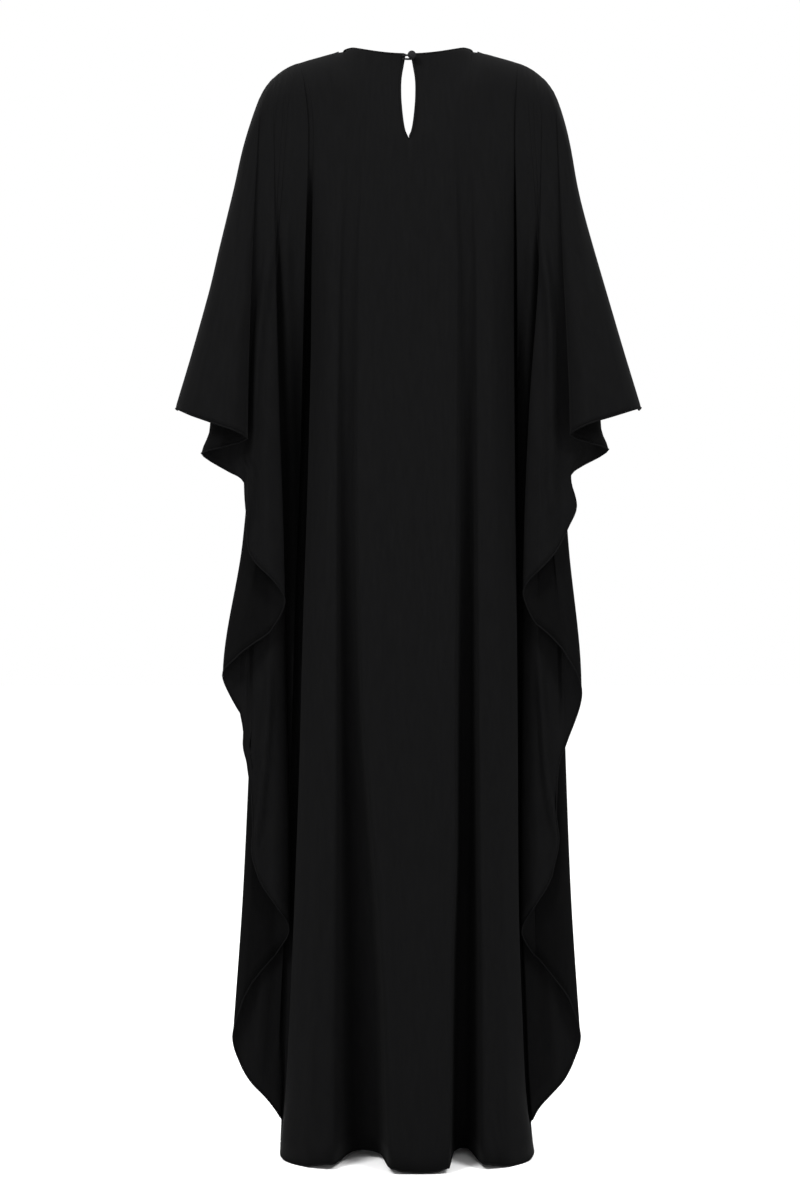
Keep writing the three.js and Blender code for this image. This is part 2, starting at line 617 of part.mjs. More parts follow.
// The loop leaves the left edge of the opening, goes round the shank and comes back.
function loopGeometry() {
  const y = -(BUTTON_BASE + LOOP.radius);
  const start = BUTTON.x - LOOP.overlap;
  const at = (x, rise) => new THREE.Vector3(x, y, BUTTON_HEIGHT + rise);
  const { reach } = LOOP;
  const path = new THREE.CatmullRomCurve3([
    at(start, reach * 0.9),
    at(BUTTON.x - 2 * reach, reach * 1.05),
    at(BUTTON.x, reach),
    at(BUTTON.x + reach * 0.95, 0),
    at(BUTTON.x, -reach),
    at(BUTTON.x - 2 * reach, -reach * 1.05),
    at(start, -reach * 0.9),
  ]);
  const section = new THREE.Shape();
  for (let i = 0; i < LOOP.sides; i++) {
    const angle = (i / LOOP.sides) * 2 * Math.PI;
    const [a, b] = [LOOP.radius * Math.cos(angle), LOOP.radius * Math.sin(angle)];
    if (i === 0) section.moveTo(a, b);
    else section.lineTo(a, b);
  }
  section.closePath();
  return new THREE.ExtrudeGeometry(section, { steps: LOOP.steps, extrudePath: path, bevelEnabled: false });
}

const crepe = () => new THREE.MeshStandardMaterial({ color: 0x121213, roughness: 0.85, metalness: 0 });
const trimCloth = () => new THREE.MeshStandardMaterial({ color: 0x101011, roughness: 0.75, metalness: 0 });

function named(name, geometry, material) {
  const mesh = new THREE.Mesh(geometry, material);
  mesh.name = name;
  return mesh;
}

const back = surface(panelGrid(BACK), BACK, WALL);
const front = surface(panelGrid(FRONT), FRONT, WALL);
const gown = new THREE.Group();
gown.add(
  named("back_panel", wall(back), crepe()),
  named("front_panel", wall(front), crepe()),
  named("neck_binding", neckBindingGeometry(back, front), trimCloth()),
  named("keyhole_binding", keyholeBindingGeometry(back), trimCloth()),
  placeButton(named("button", buttonGeometry(), trimCloth())),
  named("button_loop", loopGeometry(), trimCloth()),
);

export default gown;
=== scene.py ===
"""A full-length batwing gown in matte black crepe, open in the worn shape, seen from behind."""

import math

import bpy
import numpy as np
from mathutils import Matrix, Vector


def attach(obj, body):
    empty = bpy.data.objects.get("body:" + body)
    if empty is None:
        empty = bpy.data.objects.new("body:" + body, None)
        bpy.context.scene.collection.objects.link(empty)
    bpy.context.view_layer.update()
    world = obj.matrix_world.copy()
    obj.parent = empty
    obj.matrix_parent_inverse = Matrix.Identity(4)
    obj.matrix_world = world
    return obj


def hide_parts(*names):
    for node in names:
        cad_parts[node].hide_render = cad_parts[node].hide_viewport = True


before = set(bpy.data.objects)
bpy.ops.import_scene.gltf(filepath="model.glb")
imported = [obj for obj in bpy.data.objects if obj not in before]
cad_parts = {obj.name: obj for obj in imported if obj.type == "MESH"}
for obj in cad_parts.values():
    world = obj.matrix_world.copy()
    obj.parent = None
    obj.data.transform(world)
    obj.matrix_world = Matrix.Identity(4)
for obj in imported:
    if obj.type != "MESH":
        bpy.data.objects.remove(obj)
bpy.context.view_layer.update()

bl_info = {
    "name": "Batwing Gown",
    "version": (1, 0, 0),
    "blender": (4, 5, 0),
    "location": "View3D > Sidebar > Gown",
    "description": "Builds a draped batwing gown around its fixed frame",
    "category": "Add Mesh",
}

MM = 0.001
BODY = "root"
BACK, FRONT = -1, 1
LEFT, RIGHT = -1, 1

# Sizes in the tables are in millimetres. "Out" is the distance from the centre plane to either side, and "depth" is
# the distance from the shoulder plane to the back or to the front. Heights count down from the neck points.
FLOOR = -1449
NECK_HALF = 84
NECK = {"back_drop": 21, "front_drop": 116, "front_scoop": 0.8, "back_depth": 62, "front_depth": 76}
NECK_CORNER = {"drop": 2.4, "reach": 14}
SHOULDER_ROUND = 62
NECK_ROUND = 150
NECK_BLEND = 20
SHOULDER_FULLNESS = 0.62
FOLD_FADE = 110
SHOULDER_DEPTH = 0.4
UNDERARM = {"above": 84, "below": 1, "seam": (-150, -420), "layers": (-150, -640)}
FRONT_EDGE = {"level": -726, "rise_per_height": 0.09, "rise": 5}

# The shoulder and overarm seam, from the neck point to the tip of the cuff: out, height.
CUFF_TIP = -476
OVERARM = ((84, 0), (98, -5), (152, -22), (178, -40), (193, -62), (209, -110), (231, -198), (307, CUFF_TIP))
SLEEVE_TOP = 209

# How much closer to the body each sleeve hangs than the overarm seam of the cut, by height.
SLEEVE_TRIMS = {
    LEFT: ((-40, 0), (-132, 2.5), (-198, 2), (-264, 3), (-330, 5), (-400, 4.5), (CUFF_TIP, 2.5)),
    RIGHT: ((-40, 0), (-132, 8), (-198, 8.5), (-264, 7.5), (-330, 6), (-400, 4.5), (CUFF_TIP, 2)),
}

# The body: height, how far out its side seams lie, how far the back and the front stand out, how square it is, and
# how much of its depth is gone where it reaches the seams.
BODY_COLUMNS = ("z", "left", "right", "back", "front", "square", "slope")
BODY_SECTIONS = (
    (0, 130, 138, 80, 84, 2.4, 0),
    (-145, 122, 135.5, 91, 98, 2.6, 0),
    (-285, 125.5, 137.5, 99, 114, 3.8, 0.02),
    (-425, 128, 138.5, 102, 121, 4.4, 0.04),
    (-585, 132, 139.5, 105, 124, 4.8, 0.08),
    (-750, 137.5, 141.5, 108, 124, 5, 0.12),
    (-935, 142.5, 143, 111, 124, 5, 0.18),
    (-1100, 148.5, 144, 115, 124, 5, 0.26),
    (-1290, 156.5, 150, 120, 125, 5, 0.35),
    (-1370, 161, 154, 123, 126, 5, 0.38),
    (FLOOR, 168, 164.5, 125, 127, 5, 0.4),
)

# Troughs that run down the body: height, where the middle lies, half the width, and the depth.
TROUGH_COLUMNS = ("z", "at", "wide", "deep")
TROUGHS = {
    (BACK, "left"): (
        (-120, -68, 12, 0),
        (-330, -76, 13, 7),
        (-580, -78, 14, 16),
        (-850, -75, 18, 30),
        (-1050, -68, 27, 44),
        (-1200, -64, 34, 56),
        (FLOOR, -61, 39, 76),
    ),
    (BACK, "right"): (
        (-120, 70, 12, 0),
        (-330, 75, 13, 9),
        (-580, 75, 14, 20),
        (-850, 75, 16, 38),
        (-1050, 76, 17, 54),
        (-1200, 75, 21, 66),
        (FLOOR, 75, 24, 84),
    ),
    (FRONT, "left"): ((-300, -66, 16, 0), (-640, -67, 18, 10), (-980, -69, 20, 30), (FLOOR, -70, 24, 66)),
    (FRONT, "right"): ((-260, 62, 16, 0), (-620, 60, 20, 9), (-980, 56, 25, 28), (FLOOR, 50, 31, 60)),
}
TROUGH_SQUARE = 2.3
HEM_RISE = {"edge": 5, "trough": 9}
# The troughs lean towards the middle as they go down, so that their inner walls are steeper.
TROUGH_LEAN = {"left": 0.24, "right": -0.34, "from": -500}

# Guide lines of the body: where each starts on the neck or shoulder, and its share of the half width or its place
# in a trough, with the rise of the hem there.
SIDE_LINES = ((137, 0.985, 2), (131, 0.94, -1), (120, 0.86, -1.5), (103, 0.76, 0))
TROUGH_PLACES = {
    "left": (-1.15, -0.7, -0.3, 0.1, 0.45, 0.78, 1.1),
    "right": (-1.1, -0.78, -0.45, -0.1, 0.3, 0.7, 1.15),
}
TROUGH_TOPS = {"left": (-93, -84, -76, -67, -58, -49, -39), "right": (45, 53, 61, 69, 77, 84, 93)}
MIDDLE_LINES = ((-21, -10, 2), (0, 14, 0), (21, 35, 1))

# The valley along the side seam, between the body and the first layer of the wing.
SEAM_VALLEY = {"middle": 6, "wide": 14, "rise": 5, "narrow_from": -1240, "at_hem": 0.3, "drop": 29}
VALLEY_STEP = 2
VALLEY_END = 0.1

# Layers of a wing from the side seam to the sleeve: depth above and below the underarm.
LAYERS = ((86, 8), (86.5, 25), (87, 43), (87.5, 60), (88, 78), (89, 94), (90, 110))
SLEEVE = len(LAYERS) - 1

# How far the near end and the far end of each layer, counted from the side seam, hang in towards the shoulder plane.
LEANS = ((0, 0), (0, 13), (0, 18), (0, 14), (0, 30), (0, 24), (0, 0))
SLEEVE_SQUARE = 3
TURN_WIDTH = 1.2
TURN_TOP = 2.4
MOST_OF_LAYER = 0.4
LAYER_TOPS = (0.3, 0.7)

# Fold lines between the layers: how far out at each station, after where each starts on the shoulder. They end at
# the free edge, the side seam first.
STATIONS = (-60, -300, -480, -650, -830, -1100, -1300)
FOLD_STARTS = (140, 150, 158, 166, 173, 181, 188)
FOLDS = {
    LEFT: (
        (151, 170, 186, 197, 204, 216, 230),
        (158, 171, 172, 163, 160, 155, 157),
        (166, 187, 200, 215, 241, 241, 241),
        (173, 170, 166.5, 161, 158, 158, 158),
        (181, 222, 253, 261, 261, 261, 261),
        (188, 200, 205, 206, 206, 206, 206),
    ),
    RIGHT: (
        (151, 170, 185, 196, 203, 213, 226),
        (158, 169, 166, 153, 149.5, 148, 149),
        (166, 186, 197, 208, 225, 228, 228),
        (172, 167.5, 156, 149.5, 147, 147, 147),
        (181, 220, 246, 254, 254, 254, 254),
        (188, 198, 206, 208, 208, 208, 208),
    ),
}
FOLD_ENDS = {
    LEFT: (-1412, -1300, -1157, -825, -726, -538, -520, CUFF_TIP),
    RIGHT: (-1416, -1299, -1160, -848, -716, -533, -515, CUFF_TIP),
}

# The free edge along each layer, between the ends of its two folds: share of the way along the layer, height.
EDGES = {
    LEFT: (
        ((0.17, -1397), (0.4, -1379), (0.66, -1361), (0.88, -1336)),
        ((0.1, -1255), (0.3, -1228), (0.61, -1201), (0.9, -1178)),
        ((0.05, -1146), (0.144, -1130), (0.3, -1112), (0.46, -1089), (0.53, -1055), (0.56, -985), (0.62, -945),
         (0.665, -905), (0.73, -874), (0.889, -849)),
        ((0.05, -814), (0.149, -803), (0.433, -785), (0.748, -764), (0.926, -740)),
        ((0.093, -704), (0.298, -685), (0.44, -665), (0.48, -630), (0.5, -575), (0.756, -556)),
        ((0.5, -531),),
        ((0.1, -513), (0.3, -506), (0.53, -498), (0.74, -490), (0.9, -482), (0.975, -478)),
    ),
    RIGHT: (
        ((0.077, -1410), (0.211, -1396), (0.484, -1376), (0.711, -1358), (0.869, -1337)),
        ((0.107, -1255), (0.395, -1223), (0.726, -1194), (0.964, -1173)),
        ((0.062, -1142), (0.292, -1115), (0.48, -1089), (0.545, -1060), (0.57, -985), (0.61, -943), (0.69, -924),
         (0.76, -907), (0.922, -881)),
        ((0.06, -822), (0.114, -809), (0.335, -787), (0.687, -761), (0.95, -736)),
        ((0.04, -704), (0.193, -687), (0.361, -668), (0.525, -637), (0.59, -605), (0.62, -565), (0.783, -548)),
        ((0.5, -526),),
        ((0.1, -508), (0.3, -500), (0.5, -494), (0.74, -486), (0.9, -480), (0.975, -477)),
    ),
}

# Soft creases in the layers of a wing: face, side, layer, half width, height, and the line of height and out.
CREASES = (
    (BACK, LEFT, 4, 9, 9, ((-290, 179), (-390, 191), (-500, 198), (-585, 203), (-650, 210))),
    (BACK, RIGHT, 4, 9, 9, ((-277, 171), (-333, 179), (-400, 183), (-570, 184), (-620, 188))),
    (BACK, LEFT, 2, 8, 8, ((-830, 181), (-900, 184), (-995, 192), (-1040, 199))),
    (BACK, RIGHT, 2, 8, 8, ((-820, 172), (-919, 177), (-979, 183), (-1030, 193))),
    (BACK, LEFT, 2, 6, -4, ((-700, 205), (-790, 207), (-880, 206))),
    (BACK, RIGHT, 2, 6, -4, ((-690, 197), (-790, 200), (-880, 202))),
    (BACK, LEFT, 0, 13, 8, ((-250, 158), (-330, 158), (-585, 152), (-800, 151), (-1050, 153))),
    (BACK, RIGHT, 0, 12, 8, ((-260, 159), (-330, 158), (-500, 153), (-800, 152), (-1050, 153))),
    (BACK, LEFT, 0, 16, 4, ((-1130, 186), (-1230, 190), (-1330, 196))),
    (BACK, RIGHT, 0, 16, 4, ((-1130, 184), (-1240, 190), (-1340, 193))),
    (BACK, LEFT, 6, 20, 4, ((-150, 206), (-300, 217), (-480, 228))),
    (BACK, LEFT, 6, 16, -3, ((-210, 219), (-330, 238), (-480, 256))),
    (BACK, RIGHT, 6, 19, 4, ((-170, 208), (-320, 221), (-480, 233))),
    (BACK, RIGHT, 6, 15, -3, ((-230, 222), (-340, 242), (-480, 263))),
    (FRONT, LEFT, 4, 9, 5, ((-270, 176), (-420, 186), (-600, 197))),
    (FRONT, RIGHT, 4, 8, 6, ((-300, 175), (-440, 184), (-620, 192))),
    (FRONT, LEFT, 2, 8, 5, ((-780, 178), (-940, 187), (-1040, 196))),
    (FRONT, RIGHT, 2, 7, 4, ((-800, 170), (-940, 180), (-1030, 190))),
    (FRONT, LEFT, 0, 13, 7, ((-250, 156), (-420, 154), (-800, 152), (-1080, 155))),
    (FRONT, RIGHT, 0, 12, 7, ((-240, 157), (-380, 155), (-820, 152), (-1040, 153))),
    (FRONT, LEFT, 6, 18, 4, ((-160, 207), (-310, 220), (-480, 234))),
    (FRONT, RIGHT, 6, 20, 4, ((-140, 206), (-300, 215), (-480, 226))),
    (FRONT, RIGHT, 6, 14, -3, ((-240, 224), (-350, 245), (-480, 268))),
)
CREASE_FADE = 70
RIPPLE_FADE = 140

# Soft ripples of the body: face, half width, height, and the line of height and x.
RIPPLES = (
    (BACK, 26, 3, ((-190, -38), (-600, -42), (FLOOR, -20))),
    (BACK, 22, -2.5, ((-240, 22), (-640, 16), (-1100, 6))),
    (BACK, 24, 3, ((-170, 46), (-700, 44), (FLOOR, 44))),
    (BACK, 20, -2, ((-560, -22), (-980, -14), (FLOOR, 2))),
    (BACK, 17, 3, ((-230, -98), (-700, -108), (-1150, -118), (FLOOR, -126))),
    (BACK, 12, -2, ((-420, -104), (-860, -116), (-1200, -128))),
    (BACK, 16, 3, ((-260, 104), (-720, 110), (FLOOR, 124))),
    (BACK, 11, -2.5, ((-700, 104), (-1050, 110), (FLOOR, 117))),
    (FRONT, 30, 4, ((-220, -8), (-700, -12), (FLOOR, -16))),
    (FRONT, 18, -3, ((-420, 18), (-860, 14), (-1250, 4))),
    (FRONT, 16, 3, ((-180, -104), (-700, -108), (FLOOR, -118))),
    (FRONT, 12, -2.5, ((-520, -94), (-1000, -102), (FLOOR, -108))),
    (FRONT, 20, 3.5, ((-200, 100), (-760, 104), (FLOOR, 112))),
    (FRONT, 12, -2, ((-640, 116), (-1020, 118), (-1300, 124))),
)

# Where a wing sways out or in below the sleeve: side, layer, height, reach up and down, distance out.
SWAYS = (
    (RIGHT, 4, -608, 30, 6),
    (RIGHT, 4, -566, 26, -4),
    (RIGHT, 2, -1040, 36, 4),
    (LEFT, 2, -1056, 34, 3),
    (LEFT, 2, -918, 24, 3),
    (LEFT, 4, -622, 34, -2),
    (LEFT, 4, -540, 34, 9),
    (RIGHT, 4, -535, 30, 8),
)

# Half the width of the back opening in the cloth, by height.
KEYHOLE = (
    (-20, 5.5), (-30, 7), (-42, 9.1), (-54, 10.9), (-66, 11.5), (-80, 11.3),
    (-94, 10.4), (-109, 8.9), (-120, 7.3), (-129, 5), (-137, 0),
)
KEYHOLE_REACH = 21

# One fine column covers this much cloth or edge, and no stretch between guides has fewer than the least.
COLUMN_STEP = 5.7
LEAST_COLUMNS = 2
LEAST_CLOTH = 2
MEASURED_FROM = -40
OPENING_ROWS = 22
DROP_ROWS = 60
OPENING_SHARE = 0.0815
ROW_CROWDING = 1.2

# The heights at which the guide lines are read.
TABLE_HEIGHTS = np.linspace(6, FLOOR - 12, 600)

# The folded strips, and the way up across the neck strip, which leans in over the neck.
BINDING = {"height": 3.2, "thickness": 2.2, "lift": 0.9, "sides": 12, "steps": 150, "end_reach": 4}
NECK_STRIP_UP = {"across": -0.75, "away": -0.2, "up": 0.8}
TUBE_SIDES = 8
HEM_UP = (0, 0.3, 1)
SEAM_LEAN = 0.7
OVERARM_SEAM = {"from_neck": 1, "from_tip": 2, "steps": 120}
SIDE_SEAM = {"below_top": 10, "above_end": 4, "steps": 80}

# The button is a little flattened, and gathered in pleats towards its shank, which is wound with thread.
BUTTON = {"radius": 5.4, "x": 4.6, "z": -25, "stand_off": 2.4, "segments": 56, "rings": 32, "flattened": 0.93}
GATHER = {"pleats": 14, "depth": 0.05}
SHANK = {"length": 3, "wound": 0.9, "turns": 6, "sunk": 0.8, "thread": 0.7, "sides": 6, "steps": 60}
LOOP = {"radius": 1.25, "reach": 2.4, "drop": 1.2, "sides": 10, "steps": 60}

# The loop's way from the strip round the shank and back: out from the button and up, as shares of its reach.
LOOP_PATH = ((-5, 0.9), (-2, 1.05), (0, 1), (0.95, 0), (0, -1), (-2, -1.05), (-5, -0.9))

# The grain of the cloth: how fine and how rich each noise or wave is, and its spread of tone or its relief in metres.
SHEEN_ROUGHNESS = 0.5
SLUB = {"stretch": (1, 0.12, 1), "scale": 220, "detail": 3, "spread": 0.1}
CRINKLE = {"scale": 260, "detail": 4, "strength": 0.25, "distance": 0.0006}
PEBBLE = {"scale": 1400, "detail": 2, "strength": 0.35, "distance": 0.0002}
BIAS = {"scale": 500, "detail": 3, "spread": 0.12}
RIDGES = {"scale": 160, "distortion": 1.5, "detail": 2, "strength": 0.3, "distance": 0.0003}

# The soft lamps: name, place in metres, and the setting that holds its power. They aim at the middle of the gown.
LAMPS = (("key", (-1.7, -2, 1.5), "key_power"), ("fill", (1.8, -1.9, 1.4), "fill_power"))
LAMP_SIZE = 1
OVERHEAD = {"spread": 100, "tilt": -12}
STUDIO_FLOOR = {"size": 30, "below_hem": 2, "colour": (0.95, 0.95, 0.95, 1), "roughness": 0.9, "gloss": 0.1}
STUDIO_WHITE = (1, 1, 1, 1)
SENSOR_WIDTH = 36


def ease(share):
    return share * share * (3 - 2 * share)


def ease_between(value, start, end):
    return ease(np.clip((value - start) / (end - start), 0, 1))


def lerp(a, b, share):
    return a + (b - a) * share


def hump(share):
    """A round hump: 1 at 0, and 0 from 1 on."""
    return np.cos(np.minimum(1, np.abs(share)) * math.pi / 2) ** 2


def slopes_along(places, values):
    """Slopes at knots on the last axis that never overshoot, for a smooth curve through the values."""
    step = np.diff(values, axis=-1) / np.diff(places)
    slopes = np.zeros_like(values)
    before, after = step[..., :-1], step[..., 1:]
    same_way = before * after > 0
    total = np.where(same_way, before + after, 1)
    slopes[..., 1:-1] = np.where(same_way, 2 * before * after / total, 0)
    slopes[..., 0] = step[..., 0]
    slopes[..., -1] = step[..., -1]
    return slopes


def smooth_through(places, values, at):
    """Reads a smooth curve through values, which stand at rising places, at other places."""
    places = np.asarray(places, float)
    values = np.asarray(values, float)
    at = np.clip(at, places[0], places[-1])
    slopes = slopes_along(places, values)
    i = np.clip(np.searchsorted(places, at) - 1, 0, len(places) - 2)
    span = places[i + 1] - places[i]
    t = (at - places[i]) / span
    rest = 1 - t
    ends = values[..., i] * (1 + 2 * t) * rest * rest + values[..., i + 1] * t * t * (3 - 2 * t)
    return ends + span * (slopes[..., i] * t * rest * rest - slopes[..., i + 1] * t * t * rest)


def by_height(heights, values, z):
    """The same for a table whose heights fall."""
    return smooth_through(np.negative(heights), values, np.negative(z))


def by_pairs(pairs, z):
    """The same for pairs of height and value."""
    return by_height(*zip(*pairs), z)


def read(rows, columns, name, z):
    heights = [row[0] for row in rows]
    return by_height(heights, [row[columns.index(name)] for row in rows], z)


def neck_corner(out):
    """How much the corner between the neck line and the shoulder seam is rounded off."""
    return NECK_CORNER["drop"] * hump((np.abs(out) - NECK_HALF) / NECK_CORNER["reach"])


def seam_height(out):
    outs, heights = zip(*OVERARM)
    return smooth_through(outs, heights, out) - neck_corner(out)


def seam_out(side, z):
    outs, heights = zip(*OVERARM)
    return by_height(heights, outs, z) - by_pairs(SLEEVE_TRIMS[side], z)


def body_at(name, z):
    return read(BODY_SECTIONS, BODY_COLUMNS, name, z)


def body_half(side, z):
    return body_at("left" if side == LEFT else "right", z)


def fold_out(side, k, z):
    """How far out fold line k lies. The first is the side seam, and the last is the overarm seam."""
    if k == 0:
        return body_half(side, z)
    if k == len(LAYERS):
        return seam_out(side, z)
    return by_height(STATIONS, FOLDS[side][k - 1], z)


def drawn_in(what, z):
    """How far the seam or the layers are drawn in below the underarm, from 0 to 1."""
    return ease_between(z, *UNDERARM[what])


def layer_depth(layer, z):
    above, below = LAYERS[layer]
    return lerp(above, below, drawn_in("layers", z))


def wing_depth(place, z):
    """Depth at a place in the wing, with the lean of its layer. A whole number is the far end of the layer before."""
    layer = math.ceil(place) - 1
    return layer_depth(layer, z) - drawn_in("layers", z) * lerp(*LEANS[layer], place - layer)


def seam_depth(z):
    return lerp(UNDERARM["above"], UNDERARM["below"], drawn_in("seam", z))


def trough_depth(face, x, z):
    deep = 0
    for (on, name), rows in TROUGHS.items():
        if on != face:
            continue
        across = (x - read(rows, TROUGH_COLUMNS, "at", z)) / read(rows, TROUGH_COLUMNS, "wide", z)
        across = np.clip(across, -1, 1)
        lean = TROUGH_LEAN[name] * ease_between(z, TROUGH_LEAN["from"], FLOOR)
        across = np.abs(across - lean * (1 - across * across))
        deep = deep + read(rows, TROUGH_COLUMNS, "deep", z) * hump(across**TROUGH_SQUARE)
    return deep


def body_depth(face, x, z):
    across = np.clip(np.abs(x) / np.where(x < 0, body_half(LEFT, z), body_half(RIGHT, z)), 0, 1)
    square = body_at("square", z)
    seam = seam_depth(z)
    crown = body_at("back" if face == BACK else "front", z) * (1 - body_at("slope", z) * across * across)
    return seam + (crown - seam) * (1 - across**square) ** (1 / square) - trough_depth(face, x, z)


def guide(top, x, depth, end, place):
    """A guide line: its start on the neck or shoulder line, its x and depth by height, where it ends, and its place
    in the wing, which is the number of its layer and the share of the way along it, or None on the body."""
    return {"top": top, "x": x, "depth": depth, "end": end, "place": place}


def body_guide(face, top, x, end):
    return guide(top, x, lambda z: body_depth(face, x(z), z), end, None)


def side_guides(face, side):
    def line(share):
        return lambda z: side * share * body_half(side, z)

    return [body_guide(face, side * top, line(share), FLOOR + rise) for top, share, rise in SIDE_LINES]


def trough_guides(face, name):
    rows = TROUGHS[face, name]

    def line(place):
        return lambda z: read(rows, TROUGH_COLUMNS, "at", z) + place * read(rows, TROUGH_COLUMNS, "wide", z)

    guides = []
    for place, top in zip(TROUGH_PLACES[name], TROUGH_TOPS[name]):
        rise = lerp(HEM_RISE["edge"], HEM_RISE["trough"], float(hump(place)))
        guides.append(body_guide(face, top, line(place), FLOOR + rise))
    return guides


def middle_guides(face):
    def line(top, hem):
        return lambda z: lerp(top, hem, np.clip(z / FLOOR, 0, 1))

    return [body_guide(face, top, line(top, hem), FLOOR + rise) for top, hem, rise in MIDDLE_LINES]


def end_height(face, z):
    """The front hangs behind the back, so its upper edges are cut a little shorter and stay hidden behind it."""
    if face == BACK or z < FRONT_EDGE["level"]:
        return z
    return z + (z - FRONT_EDGE["level"]) * FRONT_EDGE["rise_per_height"] + FRONT_EDGE["rise"]


def edge_height(side, layer, share):
    ends = FOLD_ENDS[side]
    shares, heights = zip((0, ends[layer]), *EDGES[side][layer], (1, ends[layer + 1]))
    return float(np.interp(share, shares, heights))


def turn_radius(k, z):
    return (layer_depth(k, z) - wing_depth(k, z)) / 2


def turn_share(side, k, other):
    """The share of a layer's width that the turn of fold k takes at its end, towards the fold line other."""
    z = FOLD_ENDS[side][k]
    width = abs(fold_out(side, other, z) - fold_out(side, k, z))
    return float(min(TURN_WIDTH * turn_radius(k, z) / width, MOST_OF_LAYER))


def turn_guides(face, side, k):
    """The turn of a fold: a guide in each layer and one along the crown."""

    def line(other):
        def x(z):
            reach = TURN_WIDTH * turn_radius(k, z)
            room = MOST_OF_LAYER * (fold_out(side, other, z) - fold_out(side, k, z))
            return side * (fold_out(side, k, z) + np.clip(room, -reach, reach))

        return x

    def crown_x(z):
        return side * fold_out(side, k, z)

    def crown_depth(z):
        return (wing_depth(k, z) + layer_depth(k, z)) / 2

    before, after = turn_share(side, k, k - 1), turn_share(side, k, k + 1)
    start, end = FOLD_STARTS[k], FOLD_ENDS[side][k]
    near = end_height(face, edge_height(side, k - 1, 1 - before))
    far = end_height(face, edge_height(side, k, after))
    return [
        guide(side * (start - TURN_TOP), line(k - 1), lambda z: wing_depth(k - before, z), near, k - before),
        guide(side * start, crown_x, crown_depth, end_height(face, end), k),
        guide(side * (start + TURN_TOP), line(k + 1), lambda z: wing_depth(k + after, z), far, k + after),
    ]


def layer_guides(face, side, layer):
    sleeve = layer == SLEEVE
    start, stop = FOLD_STARTS[layer], SLEEVE_TOP if sleeve else FOLD_STARTS[layer + 1]
    first_top, last_top = LAYER_TOPS[0], 1 if sleeve else LAYER_TOPS[1]
    first = turn_share(side, layer, layer + 1) if layer else 0
    last = 1 if sleeve else 1 - turn_share(side, layer + 1, layer)

    def line(share):
        return lambda z: side * lerp(fold_out(side, layer, z), fold_out(side, layer + 1, z), share)

    def depth(share):
        round_off = (1 - share**SLEEVE_SQUARE) ** (1 / SLEEVE_SQUARE) if sleeve else 1
        return lambda z: wing_depth(layer + share, z) * round_off

    guides = []
    for share, end in EDGES[side][layer]:
        if first < share < last:
            top = lerp(start, stop, lerp(first_top, last_top, share))
            guides.append(guide(side * top, line(share), depth(share), end_height(face, end), layer + share))
    return guides


def seam_guides(side):
    """The side seam, where the body turns out into the first layer of the wing."""
    start, end = FOLD_STARTS[0], FOLD_ENDS[side][0]
    rise, middle, wide = SEAM_VALLEY["rise"], SEAM_VALLEY["middle"], SEAM_VALLEY["wide"]

    def line(shift):
        def x(z):
            narrow = lerp(1, SEAM_VALLEY["at_hem"], ease_between(z, SEAM_VALLEY["narrow_from"], end))
            return side * (body_half(side, z) + shift * narrow)

        return x

    def inner(z):
        return seam_depth(z) + rise * drawn_in("seam", z)

    def outer(z):
        return np.maximum(layer_depth(0, z) - VALLEY_STEP, seam_depth(z))

    return [
        guide(side * start, line(0), inner, end - SEAM_VALLEY["drop"], None),
        guide(side * (start + middle / 2), line(middle), seam_depth, end, 0),
        guide(side * (start + wide / 2), line(wide), outer, end + rise, VALLEY_END),
    ]


def wing_guides(face, side):
    guides = seam_guides(side)
    for layer in range(len(LAYERS)):
        if layer:
            guides += turn_guides(face, side, layer)
        guides += layer_guides(face, side, layer)
    overarm = guide(side * SLEEVE_TOP, lambda z: side * seam_out(side, z), lambda z: 0 * z, CUFF_TIP, len(LAYERS))
    return [*guides, overarm]


def panel_guides(face):
    return [
        *reversed(wing_guides(face, LEFT)),
        *side_guides(face, LEFT),
        *trough_guides(face, "left"),
        *middle_guides(face),
        *trough_guides(face, "right"),
        *reversed(side_guides(face, RIGHT)),
        *wing_guides(face, RIGHT),
    ]


def top_line(face, x):
    """Height and depth of the start of a column at x: on the neck line, or on the shoulder seam."""
    across = np.clip(1 - (x / NECK_HALF) ** 2, 0, 1)
    if face == BACK:
        neck_z, neck_depth = -NECK["back_drop"] * across, NECK["back_depth"] * np.sqrt(across)
    else:
        neck_z = -NECK["front_drop"] * across ** NECK["front_scoop"]
        neck_depth = NECK["front_depth"] * np.sqrt(across)
    on_neck = np.abs(x) < NECK_HALF
    z = np.where(on_neck, neck_z - neck_corner(x), seam_height(np.abs(x)))
    return z, np.where(on_neck, np.maximum(neck_depth, SHOULDER_DEPTH), SHOULDER_DEPTH)


def fine_columns(guides):
    """Places of the fine columns along the guides, and the places of the guides themselves."""
    middles = [(line["end"] + MEASURED_FROM) / 2 for line in guides]
    x = np.array([line["x"](z) for line, z in zip(guides, middles)], float)
    depth = np.array([line["depth"](z) for line, z in zip(guides, middles)], float)
    ends = np.array([line["end"] for line in guides], float)
    cloth = np.maximum(np.hypot(np.diff(x), np.diff(depth)), LEAST_CLOTH)
    edge = np.hypot(cloth, np.diff(ends))
    along = np.concatenate([[0], np.cumsum(cloth)])
    at = [0.0]
    for i, length in enumerate(edge):
        count = max(LEAST_COLUMNS, math.ceil(length / COLUMN_STEP))
        at += [lerp(along[i], along[i + 1], (n + 1) / count) for n in range(count)]
    return np.array(at), along


def row_shares():
    opening = np.linspace(0, OPENING_SHARE, OPENING_ROWS + 1)
    down = np.linspace(0, 1, DROP_ROWS + 1)[1:] ** ROW_CROWDING
    return np.concatenate([opening, lerp(OPENING_SHARE, 1, down)])


